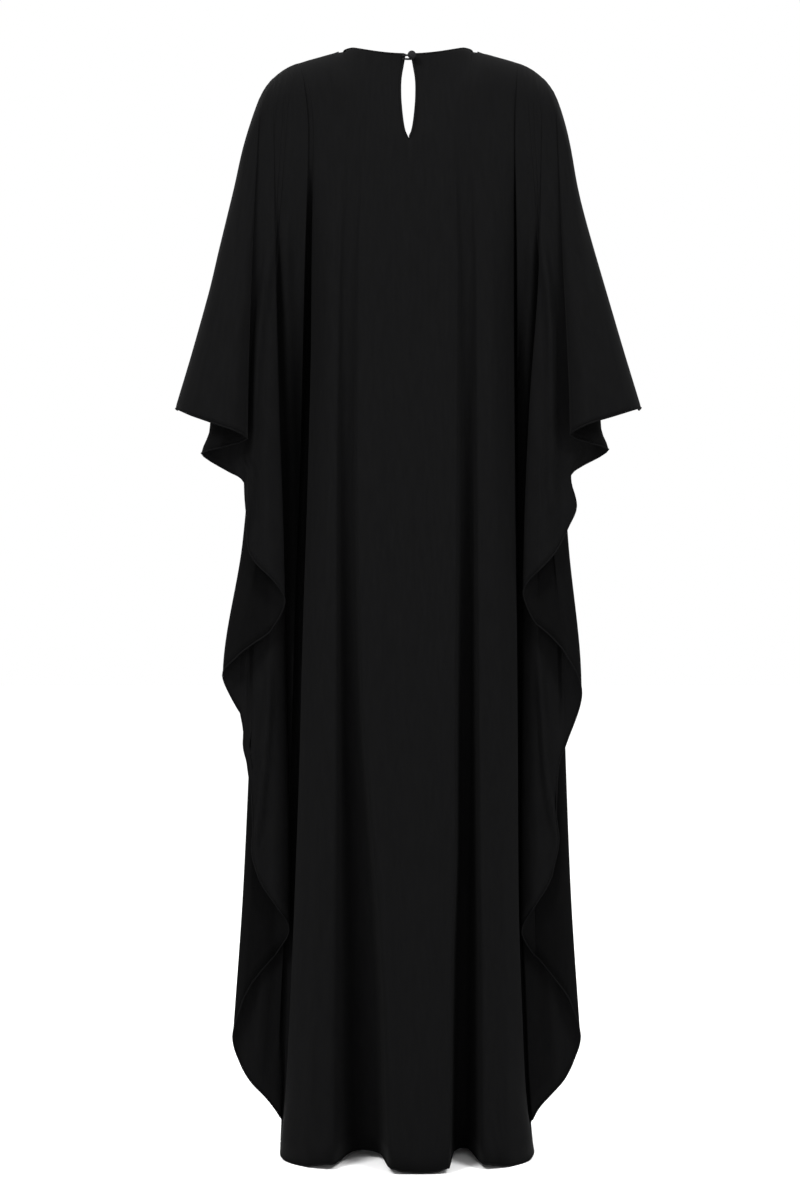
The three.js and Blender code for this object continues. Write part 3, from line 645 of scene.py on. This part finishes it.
def wing_places(guides, along, at):
    """For each fine column its side, 0 on the body, and its place in the wing."""
    side = np.zeros(len(at), int)
    place = np.full(len(at), -1.0)
    half = len(guides) // 2
    for which, part in ((LEFT, slice(0, half)), (RIGHT, slice(half, None))):
        picked = [(a, line["place"]) for a, line in zip(along[part], guides[part]) if line["place"] is not None]
        places, values = zip(*picked)
        inside = (at >= places[0]) & (at <= places[-1])
        side[inside] = which
        place[inside] = np.interp(at[inside], places, values)
    return side, place


def between_side_lines(guides, along, at):
    """The fine columns from the first guide line of the body to its last, whose depth is the body's own."""
    wing = len(wing_guides(BACK, LEFT))
    return (at > along[wing]) & (at < along[len(guides) - wing - 1])


def table_over(guides, along, at, name):
    """Reads the guides' x or depth at many heights, for all the fine columns."""
    values = np.stack([line[name](TABLE_HEIGHTS) + 0 * TABLE_HEIGHTS for line in guides], axis=-1)
    return smooth_through(along, values, at)


def look_up(table, z):
    columns = range(table.shape[1])
    return np.stack([np.interp(-z[:, c], -TABLE_HEIGHTS, table[:, c]) for c in columns], axis=1)


def path_values(path, z, fade):
    """The line's value by height, and how far in it is from the line's ends."""
    top, end = path[0][0], path[-1][0]
    inside = ease_between(z, top + fade / 2, top - fade / 2) * ease_between(z, end - fade / 2, end + fade / 2)
    return by_pairs(path, z), inside


def add_creases(face, panel):
    for on, side, layer, wide, height, path in CREASES:
        if on != face:
            continue
        out, inside = path_values(path, panel["z"], CREASE_FADE)
        within = (panel["side"] == side) & (panel["place"] > layer) & (panel["place"] < layer + 1)
        across = (np.abs(panel["x"]) - out) / wide
        panel["depth"] += height * hump(across) * inside * within[None]


def add_ripples(face, panel):
    for on, wide, height, path in RIPPLES:
        if on == face:
            x, inside = path_values(path, panel["z"], RIPPLE_FADE)
            on_body = (panel["side"] == 0)[None]
            panel["depth"] += height * hump((panel["x"] - x) / wide) * inside * on_body


def add_sways(panel):
    for side, layer, height, reach, shift in SWAYS:
        along = ease(np.clip((panel["place"] - layer) * 2, 0, 1)) * (panel["side"] == side)
        along = along * ease(np.clip((layer + 2 - panel["place"]) * 2, 0, 1))
        panel["x"] += side * shift * hump((panel["z"] - height) / reach) * along[None]


def round_over(panel, drop, top_depth):
    """Rounds a panel from the depth of its neck line and shoulder seam out to its own depth."""
    in_neck = np.clip((NECK_HALF + NECK_BLEND - np.abs(panel["tops"])) / NECK_HALF, 0, 1)[None]
    over = np.sin(np.minimum(1, drop / lerp(SHOULDER_ROUND, NECK_ROUND, in_neck)) * math.pi / 2)
    panel["depth"] = lerp(top_depth[None], panel["depth"], over ** lerp(SHOULDER_FULLNESS, 1, in_neck))
    panel["depth"][:, [0, -1]] = SHOULDER_DEPTH


def panel_surface(face):
    """The middle surface of a panel in millimetres, rows by columns."""
    guides = panel_guides(face)
    at, along = fine_columns(guides)
    tops = smooth_through(along, [line["top"] for line in guides], at)
    ends = smooth_through(along, [line["end"] for line in guides], at)
    top_z, top_depth = top_line(face, tops)
    z = top_z[None] + (ends - top_z)[None] * row_shares()[:, None]
    side, place = wing_places(guides, along, at)
    line_x = table_over(guides, along, at, "x")
    panel = {"z": z, "side": side, "place": place, "tops": tops}
    drop = top_z[None] - z
    fade = (1 - np.minimum(1, drop / FOLD_FADE)) ** 2
    panel["x"] = look_up(line_x, z) + (tops[None] - look_up(line_x, z[:1])) * fade
    add_sways(panel)
    panel["depth"] = look_up(table_over(guides, along, at, "depth"), z)
    on_body = between_side_lines(guides, along, at)
    panel["depth"][:, on_body] = body_depth(face, panel["x"][:, on_body], z[:, on_body])
    add_creases(face, panel)
    add_ripples(face, panel)
    round_over(panel, drop, top_depth)
    return panel


def opening_half(z):
    return np.where(z < KEYHOLE[-1][0], 0, by_pairs(KEYHOLE, z))


def panel_points(panel, face):
    return np.stack([panel["x"], face * panel["depth"], panel["z"]], axis=-1) * MM


def cut_opening(panel):
    """Moves the cloth aside for the back opening. Gives the row count and the middle column of the opening."""
    middle = int(np.argmin(np.abs(panel["tops"])))
    half = opening_half(panel["z"])
    near = np.clip(1 - np.abs(panel["x"]) / KEYHOLE_REACH, 0, 1)
    panel["x"] = panel["x"] + np.sign(panel["x"]) * half * near
    rows = int(np.count_nonzero(half[:, middle]))
    panel["x"][:rows, middle] = -half[:rows, middle]
    return rows, middle


def panel_grid(face):
    """Points of a panel, its quads, and the points along its free edge and round its opening."""
    panel = panel_surface(face)
    rows, middle = cut_opening(panel) if face == BACK else (0, 0)
    points = panel_points(panel, face)
    count, columns = points.shape[:2]
    ids = np.arange(count * columns).reshape(count, columns)
    right_edge = points[:rows, middle] * (-1, 1, 1)
    left_of = ids.copy()
    left_of[:rows, middle] = count * columns + np.arange(rows)
    corners = [left_of[:-1, :-1], left_of[1:, :-1], ids[1:, 1:], ids[:-1, 1:]]
    quads = np.stack([c.ravel() for c in (corners if face == BACK else corners[::-1])], axis=-1)
    opening = [*right_edge, points[rows, middle], *points[:rows, middle][::-1]]
    return np.concatenate([points.reshape(-1, 3), right_edge]), quads, points[-1], opening


def lay_flat(points, columns):
    """Places on the flat cloth, in metres, for a panel's points."""
    grid = points[: len(points) // columns * columns].reshape(-1, columns, 3)
    down = np.concatenate([np.zeros((1, columns)), np.cumsum(np.linalg.norm(np.diff(grid, axis=0), axis=-1), axis=0)])
    middle = grid[len(grid) // 2]
    across = np.concatenate([[0], np.cumsum(np.linalg.norm(np.diff(middle, axis=0), axis=-1))])
    flat = np.stack([np.broadcast_to(across, down.shape), -down], axis=-1).reshape(-1, 2)
    extra = len(points) - len(flat)
    slit = flat[np.argmin(np.linalg.norm(points[: len(flat), None] - points[len(flat):][None], axis=-1), axis=0)]
    return np.concatenate([flat, slit]) if extra else flat


def add_object(name, data, place=(0, 0, 0), turn=(0, 0, 0)):
    thing = bpy.data.objects.new(name, data)
    thing.location, thing.rotation_euler = place, turn
    bpy.context.scene.collection.objects.link(thing)
    return thing


def mesh_object(name, points, faces, flat):
    mesh = bpy.data.meshes.new(name)
    mesh.from_pydata([tuple(map(float, p)) for p in points], [], [tuple(map(int, f)) for f in faces])
    layer = mesh.uv_layers.new(name="flat")
    corners = np.empty(len(mesh.loops), int)
    mesh.loops.foreach_get("vertex_index", corners)
    layer.data.foreach_set("uv", np.asarray(flat, float)[corners].ravel())
    return add_object(name, mesh)


def only(thing):
    """Selects this object alone and makes it the active one."""
    bpy.ops.object.select_all(action="DESELECT")
    thing.select_set(True)
    bpy.context.view_layer.objects.active = thing


def shade_smooth(thing):
    only(thing)
    bpy.ops.object.shade_smooth()


def thicken(thing, thickness):
    """Gives a sheet its thickness, and its inner side the second finish, a darker copy of the crepe that is painted
    shade.
    """
    only(thing)
    wall = thing.modifiers.new("wall", "SOLIDIFY")
    wall.thickness = thickness
    wall.offset = 0
    # The inner side gets the darker second finish, which is painted shade on the turned-under layers.
    wall.material_offset = 1
    bpy.ops.object.modifier_apply(modifier=wall.name)


def path_frames(path, up):
    """For each point of a path the way across it that is nearest to up, and the way square to both."""
    along = np.gradient(path, axis=0)
    along /= np.linalg.norm(along, axis=1)[:, None]
    across = up - along * np.sum(up * along, axis=1)[:, None]
    across /= np.linalg.norm(across, axis=1)[:, None]
    return across, np.cross(along, across)


def tube(name, path, up, height, thickness, sides, slot):
    """A closed tube of oval section along a path, its height along up."""
    path = np.asarray(path, float)
    ups, outs = path_frames(path, np.broadcast_to(np.asarray(up, float), path.shape))
    angles = np.linspace(0, 2 * math.pi, sides, endpoint=False)
    tall = ups[:, None] * (height / 2 * np.cos(angles))[None, :, None]
    wide = outs[:, None] * (thickness / 2 * np.sin(angles))[None, :, None]
    ring = path[:, None] + tall + wide
    points = np.concatenate([ring.reshape(-1, 3), path[[0, -1]]])
    first, last = len(path) * sides, len(path) * sides + 1
    faces = []
    for i in range(len(path) - 1):
        for n in range(sides):
            m = (n + 1) % sides
            faces.append((i * sides + n, (i + 1) * sides + n, (i + 1) * sides + m, i * sides + m))
    end = (len(path) - 1) * sides
    for n in range(sides):
        m = (n + 1) % sides
        faces += [(first, n, m), (last, end + m, end + n)]
    length = np.concatenate([[0], np.cumsum(np.linalg.norm(np.diff(path, axis=0), axis=1))])
    flat = np.stack(np.broadcast_arrays(length[:, None], (angles * height / 2)[None]), axis=-1).reshape(-1, 2)
    thing = mesh_object(name, points, faces, np.concatenate([flat, [[0, 0], [length[-1], 0]]]))
    face_outwards(thing)
    shade_smooth(thing)
    dress(thing, slot)
    return thing


def face_outwards(thing):
    only(thing)
    bpy.ops.object.mode_set(mode="EDIT")
    bpy.ops.mesh.select_all(action="SELECT")
    bpy.ops.mesh.normals_make_consistent(inside=False)
    bpy.ops.object.mode_set(mode="OBJECT")


def join(name, things):
    only(things[0])
    for thing in things[1:]:
        thing.select_set(True)
    bpy.ops.object.join()
    things[0].name = name
    return things[0]


def node(tree, kind, **values):
    made = tree.nodes.new(kind)
    for name, value in values.items():
        made.inputs[name.replace("_", " ")].default_value = value
    return made


def noise(tree, place, grain):
    made = node(tree, "ShaderNodeTexNoise", Scale=grain["scale"], Detail=grain["detail"])
    tree.links.new(place, made.inputs["Vector"])
    return made.outputs["Fac"]


def tint(tree, factor, colour, spread):
    """Runs a colour a little darker and lighter with a factor."""
    ramp = tree.nodes.new("ShaderNodeValToRGB")
    for element, place, share in zip(ramp.color_ramp.elements, (0.3, 0.7), (1 - spread, 1 + spread)):
        element.position = place
        element.color = (*[channel * share for channel in colour], 1)
    tree.links.new(factor, ramp.inputs["Fac"])
    return ramp.outputs["Color"]


def bump(tree, height, grain, before=None):
    made = node(tree, "ShaderNodeBump", Strength=grain["strength"], Distance=grain["distance"])
    tree.links.new(height, made.inputs["Height"])
    if before is not None:
        tree.links.new(before, made.inputs["Normal"])
    return made.outputs["Normal"]


def matte_material(settings, name):
    """A new matte material. Gives it with its node tree, and with the places on the flat cloth."""
    material = bpy.data.materials.new(name)
    material.use_nodes = True
    tree = material.node_tree
    inputs = tree.nodes["Principled BSDF"].inputs
    inputs["Roughness"].default_value = settings.roughness
    inputs["Specular IOR Level"].default_value = settings.gloss
    inputs["Sheen Weight"].default_value = settings.sheen
    inputs["Sheen Roughness"].default_value = SHEEN_ROUGHNESS
    return material, tree, tree.nodes.new("ShaderNodeTexCoord").outputs["UV"]


def finish_cloth(tree, flat, colour, relief):
    """Joins a colour and a relief to the shader, with the pebbled face of crepe over the relief."""
    shader = tree.nodes["Principled BSDF"]
    tree.links.new(colour, shader.inputs["Base Color"])
    pebble = bump(tree, noise(tree, flat, PEBBLE), PEBBLE, relief)
    tree.links.new(pebble, shader.inputs["Normal"])


def crepe_material(settings, name, share):
    """Matte crepe: a dark ground with a faint slub along the threads, and a pebbled, slightly crinkled face."""
    material, tree, flat = matte_material(settings, name)
    threads = node(tree, "ShaderNodeMapping", Scale=SLUB["stretch"])
    tree.links.new(flat, threads.inputs["Vector"])
    ground = [channel * share for channel in settings.colour]
    colour = tint(tree, noise(tree, threads.outputs["Vector"], SLUB), ground, SLUB["spread"])
    finish_cloth(tree, flat, colour, bump(tree, noise(tree, flat, CRINKLE), CRINKLE))
    return material


def rolled_material(settings, name, share):
    """The same crepe cut on the bias and rolled, with the small diagonal ridges of the roll."""
    material, tree, flat = matte_material(settings, name)
    ground = [channel * share for channel in settings.colour]
    colour = tint(tree, noise(tree, flat, BIAS), ground, BIAS["spread"])
    wave = {name.title(): RIDGES[name] for name in ("scale", "distortion", "detail")}
    ridges = node(tree, "ShaderNodeTexWave", **wave)
    ridges.bands_direction = "DIAGONAL"
    tree.links.new(flat, ridges.inputs["Vector"])
    finish_cloth(tree, flat, colour, bump(tree, ridges.outputs["Fac"], RIDGES))
    return material


# The finishes of each slot: name, what makes it, and its share of the ground colour. A sheet's inner side is second:
# it is painted shade, the same crepe at 0.6 of its colour, darker where the turned-under layers lie in shade.
FINISHES = {
    "crepe": (("crepe_face", crepe_material, 1), ("crepe_inside", crepe_material, 0.6)),
    "binding": (("rolled_crepe", rolled_material, 1.1),),
    # Painted highlight: the trim is the same crepe at four times its colour, standing in for the light that the small
    # ball and loop catch.
    "trim": (("covered_crepe", rolled_material, 4),),
}


def dress(thing, slot):
    """Gives a piece its finishes, and says what it rides on."""
    for name, make, share in FINISHES[slot]:
        made = bpy.data.materials.get(name) or make(bpy.context.scene.gown_cloth, name, share)
        thing.data.materials.append(made)
    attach(thing, BODY)


def cloth_panel(name, face):
    """A panel as a thin shell. Gives it with its free edge and its opening."""
    points, quads, edge, opening = panel_grid(face)
    panel = mesh_object(name, points, quads, lay_flat(points, len(edge)))
    dress(panel, "crepe")
    thicken(panel, bpy.context.scene.gown_cloth.thickness)
    shade_smooth(panel)
    return panel, edge, opening


def rolled_hem(name, edge):
    """A narrow rolled hem along a free edge."""
    size = 2 * bpy.context.scene.gown_cloth.hem_radius
    return tube(name, edge + np.array((0, 0, size / 3)), HEM_UP, size, size, TUBE_SIDES, "crepe")


def folded_strip(name, path, up):
    height, thickness = BINDING["height"] * MM, BINDING["thickness"] * MM
    return tube(name, path, up, height, thickness, BINDING["sides"], "binding")


def neck_binding():
    """A folded strip round the neck, from one side of the back opening to the other."""
    gap = math.asin(KEYHOLE[0][1] / NECK_HALF)
    turns = np.linspace(-math.pi / 2 + gap, 1.5 * math.pi - gap, BINDING["steps"])
    across, away = np.cos(turns), np.sin(turns)
    front = away > 0
    depth = np.where(front, NECK["front_depth"], NECK["back_depth"]) * away
    drop = np.where(front, NECK["front_drop"] * (away**2) ** NECK["front_scoop"], NECK["back_drop"] * away**2)
    path = np.stack([NECK_HALF * across, depth, -drop - neck_corner(NECK_HALF * across)], axis=-1)
    lean = NECK_STRIP_UP
    up = np.stack([lean["across"] * across, lean["away"] * away, 0 * across + lean["up"]], axis=-1)
    return folded_strip("neck_strip", (path - BINDING["lift"] * up) * MM, up)


def keyhole_binding(opening):
    """A folded strip down one side of the back opening and up the other."""
    path = np.asarray(opening)
    at_end = path[:, 2] < path[:, 2].min() + BINDING["end_reach"] * MM
    inward = np.stack([-np.sign(path[:, 0]), 0 * path[:, 0], at_end * 1.0], axis=-1)
    inward /= np.linalg.norm(inward, axis=1)[:, None]
    return folded_strip("keyhole_strip", path + inward * BINDING["lift"] * MM, inward)


def seam_cord(name, outs, heights):
    """The ridge of a pressed seam on either side, from how far out each lies by height."""
    size = bpy.context.scene.gown_cloth.seam_size
    cords = []
    for side in (LEFT, RIGHT):
        path = np.stack([side * outs[side], 0 * heights, heights], axis=-1) * MM
        cords.append(tube(f"{name}_{side}", path, (side * SEAM_LEAN, 0, SEAM_LEAN), size, size, TUBE_SIDES, "crepe"))
    return join(name, cords)


def overarm_seams():
    """These keep to the seam line. Below the shoulder the cloth's edge bulges past it, by up to 7 mm on the right."""
    start = NECK_HALF + OVERARM_SEAM["from_neck"]
    cut = np.linspace(start, OVERARM[-1][0] - OVERARM_SEAM["from_tip"], OVERARM_SEAM["steps"])
    heights = seam_height(cut)
    outs = {side: cut + seam_out(side, heights) - by_height(heights, cut, heights) for side in (LEFT, RIGHT)}
    return seam_cord("overarm_seams", outs, heights)


def side_seams():
    """These keep to the middle of the valley, and leave the cloth by up to 4 mm near the hem."""
    start = UNDERARM["seam"][1] - SIDE_SEAM["below_top"]
    heights = np.linspace(start, FOLD_ENDS[LEFT][0] + SIDE_SEAM["above_end"], SIDE_SEAM["steps"])
    outs = {side: body_half(side, heights) + SEAM_VALLEY["middle"] for side in (LEFT, RIGHT)}
    return seam_cord("side_seams", outs, heights)


def covered_ball(centre):
    """A ball covered in crepe that is gathered to the back."""
    radius = BUTTON["radius"] * MM
    bpy.ops.object.select_all(action="DESELECT")
    bpy.ops.mesh.primitive_uv_sphere_add(
        segments=BUTTON["segments"],
        ring_count=BUTTON["rings"],
        radius=radius,
        location=tuple(centre),
        rotation=(math.pi / 2, 0, 0),
    )
    ball = bpy.context.object
    ball.data.uv_layers[0].name = "flat"
    bpy.ops.object.transform_apply(location=True, rotation=True)
    for vertex in ball.data.vertices:
        away = np.array(vertex.co) - centre
        back = max(0.0, away[1] / radius)
        turn = math.atan2(away[2], away[0])
        gather = 1 - GATHER["depth"] * back**2 * (1 + math.cos(GATHER["pleats"] * turn))
        vertex.co = centre + away * (gather, BUTTON["flattened"], gather)
    shade_smooth(ball)
    dress(ball, "trim")
    return ball


def wound_shank(top):
    """A thread wound in a coil from the cloth to the ball."""
    steps = np.linspace(0, 1, SHANK["steps"])
    angle = steps * 2 * math.pi * SHANK["turns"]
    wound, length = SHANK["wound"] * MM, (SHANK["length"] + SHANK["sunk"]) * MM
    path = top + np.stack([wound * np.cos(angle), -steps * length, wound * np.sin(angle)], axis=-1)
    thread = SHANK["thread"] * MM
    return tube("thread_shank", path, (0, 1, 0), thread, thread, SHANK["sides"], "trim")


def covered_button():
    base = -(NECK["back_depth"] + BUTTON["stand_off"]) * MM
    x, z = BUTTON["x"] * MM, BUTTON["z"] * MM
    ball = covered_ball(np.array((x, base - SHANK["length"] * MM - BUTTON["radius"] * MM, z)))
    return join("covered_button", [ball, wound_shank(np.array((x, base, z)))])


def button_loop():
    """A rolled loop from the left side of the opening, round the shank and back."""
    places = np.arange(len(LOOP_PATH))
    at = np.linspace(0, len(LOOP_PATH) - 1, LOOP["steps"])
    outs, rises = (smooth_through(places, values, at) * LOOP["reach"] for values in zip(*LOOP_PATH))
    y = -(NECK["back_depth"] + BUTTON["stand_off"] + LOOP["radius"])
    path = np.stack([BUTTON["x"] + outs, 0 * outs + y, BUTTON["z"] - LOOP["drop"] + rises], axis=-1) * MM
    size = 2 * LOOP["radius"] * MM
    return tube("rolled_loop", path, (0, 1, 0), size, size, LOOP["sides"], "trim")


SHARE = {"subtype": "FACTOR", "min": 0, "max": 1}


def setting(name, description, default, **kind):
    return bpy.props.FloatProperty(name=name, description=description, default=default, **kind)


class GownCloth(bpy.types.PropertyGroup):
    colour: bpy.props.FloatVectorProperty(
        name="Cloth Colour",
        description="Ground colour of the crepe",
        subtype="COLOR",
        size=3,
        min=0,
        max=1,
        default=(0.0022, 0.0022, 0.0023),
    )
    roughness: setting("Roughness", "How matte the crepe is", 0.85, **SHARE)
    gloss: setting("Gloss", "How strongly the crepe reflects", 0.022, **SHARE)
    sheen: setting("Sheen", "How much the crepe lights up at a glancing angle", 0.004, **SHARE)
    thickness: setting("Thickness", "Thickness of the cloth", 0.6 * MM, unit="LENGTH")
    hem_radius: setting("Hem Radius", "Radius of the rolled hem", 1.1 * MM, unit="LENGTH")
    seam_size: setting("Seam Size", "Width of the pressed seam ridges", 1.6 * MM, unit="LENGTH")


class GownStage(bpy.types.PropertyGroup):
    distance: setting("Camera Distance", "From the camera to the shoulder plane", 2.8, unit="LENGTH")
    height: setting("Camera Height", "Height of the camera above the neck points", -0.726, unit="LENGTH")
    aside: setting("Camera Aside", "How far the camera stands to the right", -0.0106, unit="LENGTH")
    view: setting("View Height", "Height that the frame spans at the gown", 1.584, unit="LENGTH")
    key_power: setting("Key Power", "Power of the light on the left", 140, unit="POWER")
    fill_power: setting("Fill Power", "Power of the light on the right", 108, unit="POWER")
    overhead: setting("Overhead Light", "Strength of the wide light from above", 0.5)


class GOWN_OT_back_panel(bpy.types.Operator):
    """Drapes the back with both back sleeve halves, its rolled hem, and the bound keyhole opening"""

    bl_idname = "gown.back_panel"
    bl_label = "Back Panel"

    def execute(self, context):
        panel, edge, opening = cloth_panel("back_cloth", BACK)
        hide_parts("back_panel")
        hem = rolled_hem("back_hem", edge)
        binding = keyhole_binding(opening)
        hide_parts("keyhole_binding")
        return {"FINISHED"}


class GOWN_OT_front_panel(bpy.types.Operator):
    """Drapes the front with both front sleeve halves, its rolled hem, the neck binding and the pressed seams"""

    bl_idname = "gown.front_panel"
    bl_label = "Front Panel"

    def execute(self, context):
        panel, edge, _ = cloth_panel("front_cloth", FRONT)
        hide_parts("front_panel")
        hem = rolled_hem("front_hem", edge)
        binding = neck_binding()
        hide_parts("neck_binding")
        seams = [overarm_seams(), side_seams()]
        return {"FINISHED"}


class GOWN_OT_button(bpy.types.Operator):
    """Makes the covered ball button on its shank and the loop round it"""

    bl_idname = "gown.button"
    bl_label = "Button and Loop"

    def execute(self, context):
        button = covered_button()
        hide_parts("button")
        loop = button_loop()
        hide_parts("button_loop")
        return {"FINISHED"}


def area_light(name, place, aim, power):
    data = bpy.data.lights.new(name, "AREA")
    data.shape = "RECTANGLE"
    data.size, data.size_y = LAMP_SIZE, LAMP_SIZE
    data.energy = power
    add_object(name, data, place, (Vector(aim) - Vector(place)).to_track_quat("-Z", "Y").to_euler())


def overhead_light(strength):
    data = bpy.data.lights.new("overhead", "SUN")
    data.energy = strength
    data.angle = math.radians(OVERHEAD["spread"])
    add_object("overhead", data, turn=(math.radians(OVERHEAD["tilt"]), 0, 0))


def stage_camera(settings):
    data = bpy.data.cameras.new("camera")
    data.sensor_width = SENSOR_WIDTH
    data.lens = data.sensor_width * settings.distance / settings.view
    place = (settings.aside, -settings.distance, settings.height)
    bpy.context.scene.camera = add_object("camera", data, place, (math.pi / 2, 0, 0))


def stage_floor():
    bpy.ops.object.select_all(action="DESELECT")
    height = (FLOOR - STUDIO_FLOOR["below_hem"]) * MM
    bpy.ops.mesh.primitive_plane_add(size=STUDIO_FLOOR["size"], location=(0, 0, height))
    floor = bpy.context.object
    floor.name = "floor"
    bpy.ops.object.transform_apply(location=True)
    material = bpy.data.materials.new("pale_floor")
    material.use_nodes = True
    inputs = material.node_tree.nodes["Principled BSDF"].inputs
    inputs["Base Color"].default_value = STUDIO_FLOOR["colour"]
    inputs["Roughness"].default_value = STUDIO_FLOOR["roughness"]
    inputs["Specular IOR Level"].default_value = STUDIO_FLOOR["gloss"]
    floor.data.materials.append(material)


def stage_world():
    world = bpy.data.worlds.new("studio")
    world.use_nodes = True
    world.node_tree.nodes["Background"].inputs["Color"].default_value = STUDIO_WHITE
    bpy.context.scene.world = world


class GOWN_OT_stage(bpy.types.Operator):
    """Sets the pale floor, the soft lights and the camera behind the gown"""

    bl_idname = "gown.stage"
    bl_label = "Stage"

    def execute(self, context):
        settings = context.scene.gown_stage
        stage_camera(settings)
        stage_floor()
        stage_world()
        for name, place, power in LAMPS:
            area_light(name, place, (0, 0, settings.height), getattr(settings, power))
        overhead_light(settings.overhead)
        context.scene.view_settings.view_transform = "Standard"
        return {"FINISHED"}


class GOWN_PT_sidebar(bpy.types.Panel):
    """Lists the pieces of the gown and their settings"""

    bl_label = "Gown"
    bl_idname = "GOWN_PT_sidebar"
    bl_space_type = "VIEW_3D"
    bl_region_type = "UI"
    bl_category = "Gown"

    def draw(self, context):
        for settings in (context.scene.gown_cloth, context.scene.gown_stage):
            for name in settings.bl_rna.properties.keys():
                if name not in ("rna_type", "name"):
                    self.layout.prop(settings, name)
        for operator in OPERATORS:
            self.layout.operator(operator.bl_idname)


OPERATORS = (GOWN_OT_stage, GOWN_OT_back_panel, GOWN_OT_front_panel, GOWN_OT_button)
CLASSES = (GownCloth, GownStage, *OPERATORS, GOWN_PT_sidebar)


def register():
    for cls in CLASSES:
        bpy.utils.register_class(cls)
    bpy.types.Scene.gown_cloth = bpy.props.PointerProperty(type=GownCloth)
    bpy.types.Scene.gown_stage = bpy.props.PointerProperty(type=GownStage)


def unregister():
    del bpy.types.Scene.gown_stage
    del bpy.types.Scene.gown_cloth
    for cls in reversed(CLASSES):
        bpy.utils.unregister_class(cls)


def main():
    register()
    bpy.ops.gown.stage()
    bpy.ops.gown.back_panel()
    bpy.ops.gown.front_panel()
    bpy.ops.gown.button()


if __name__ == "__main__":
    main()
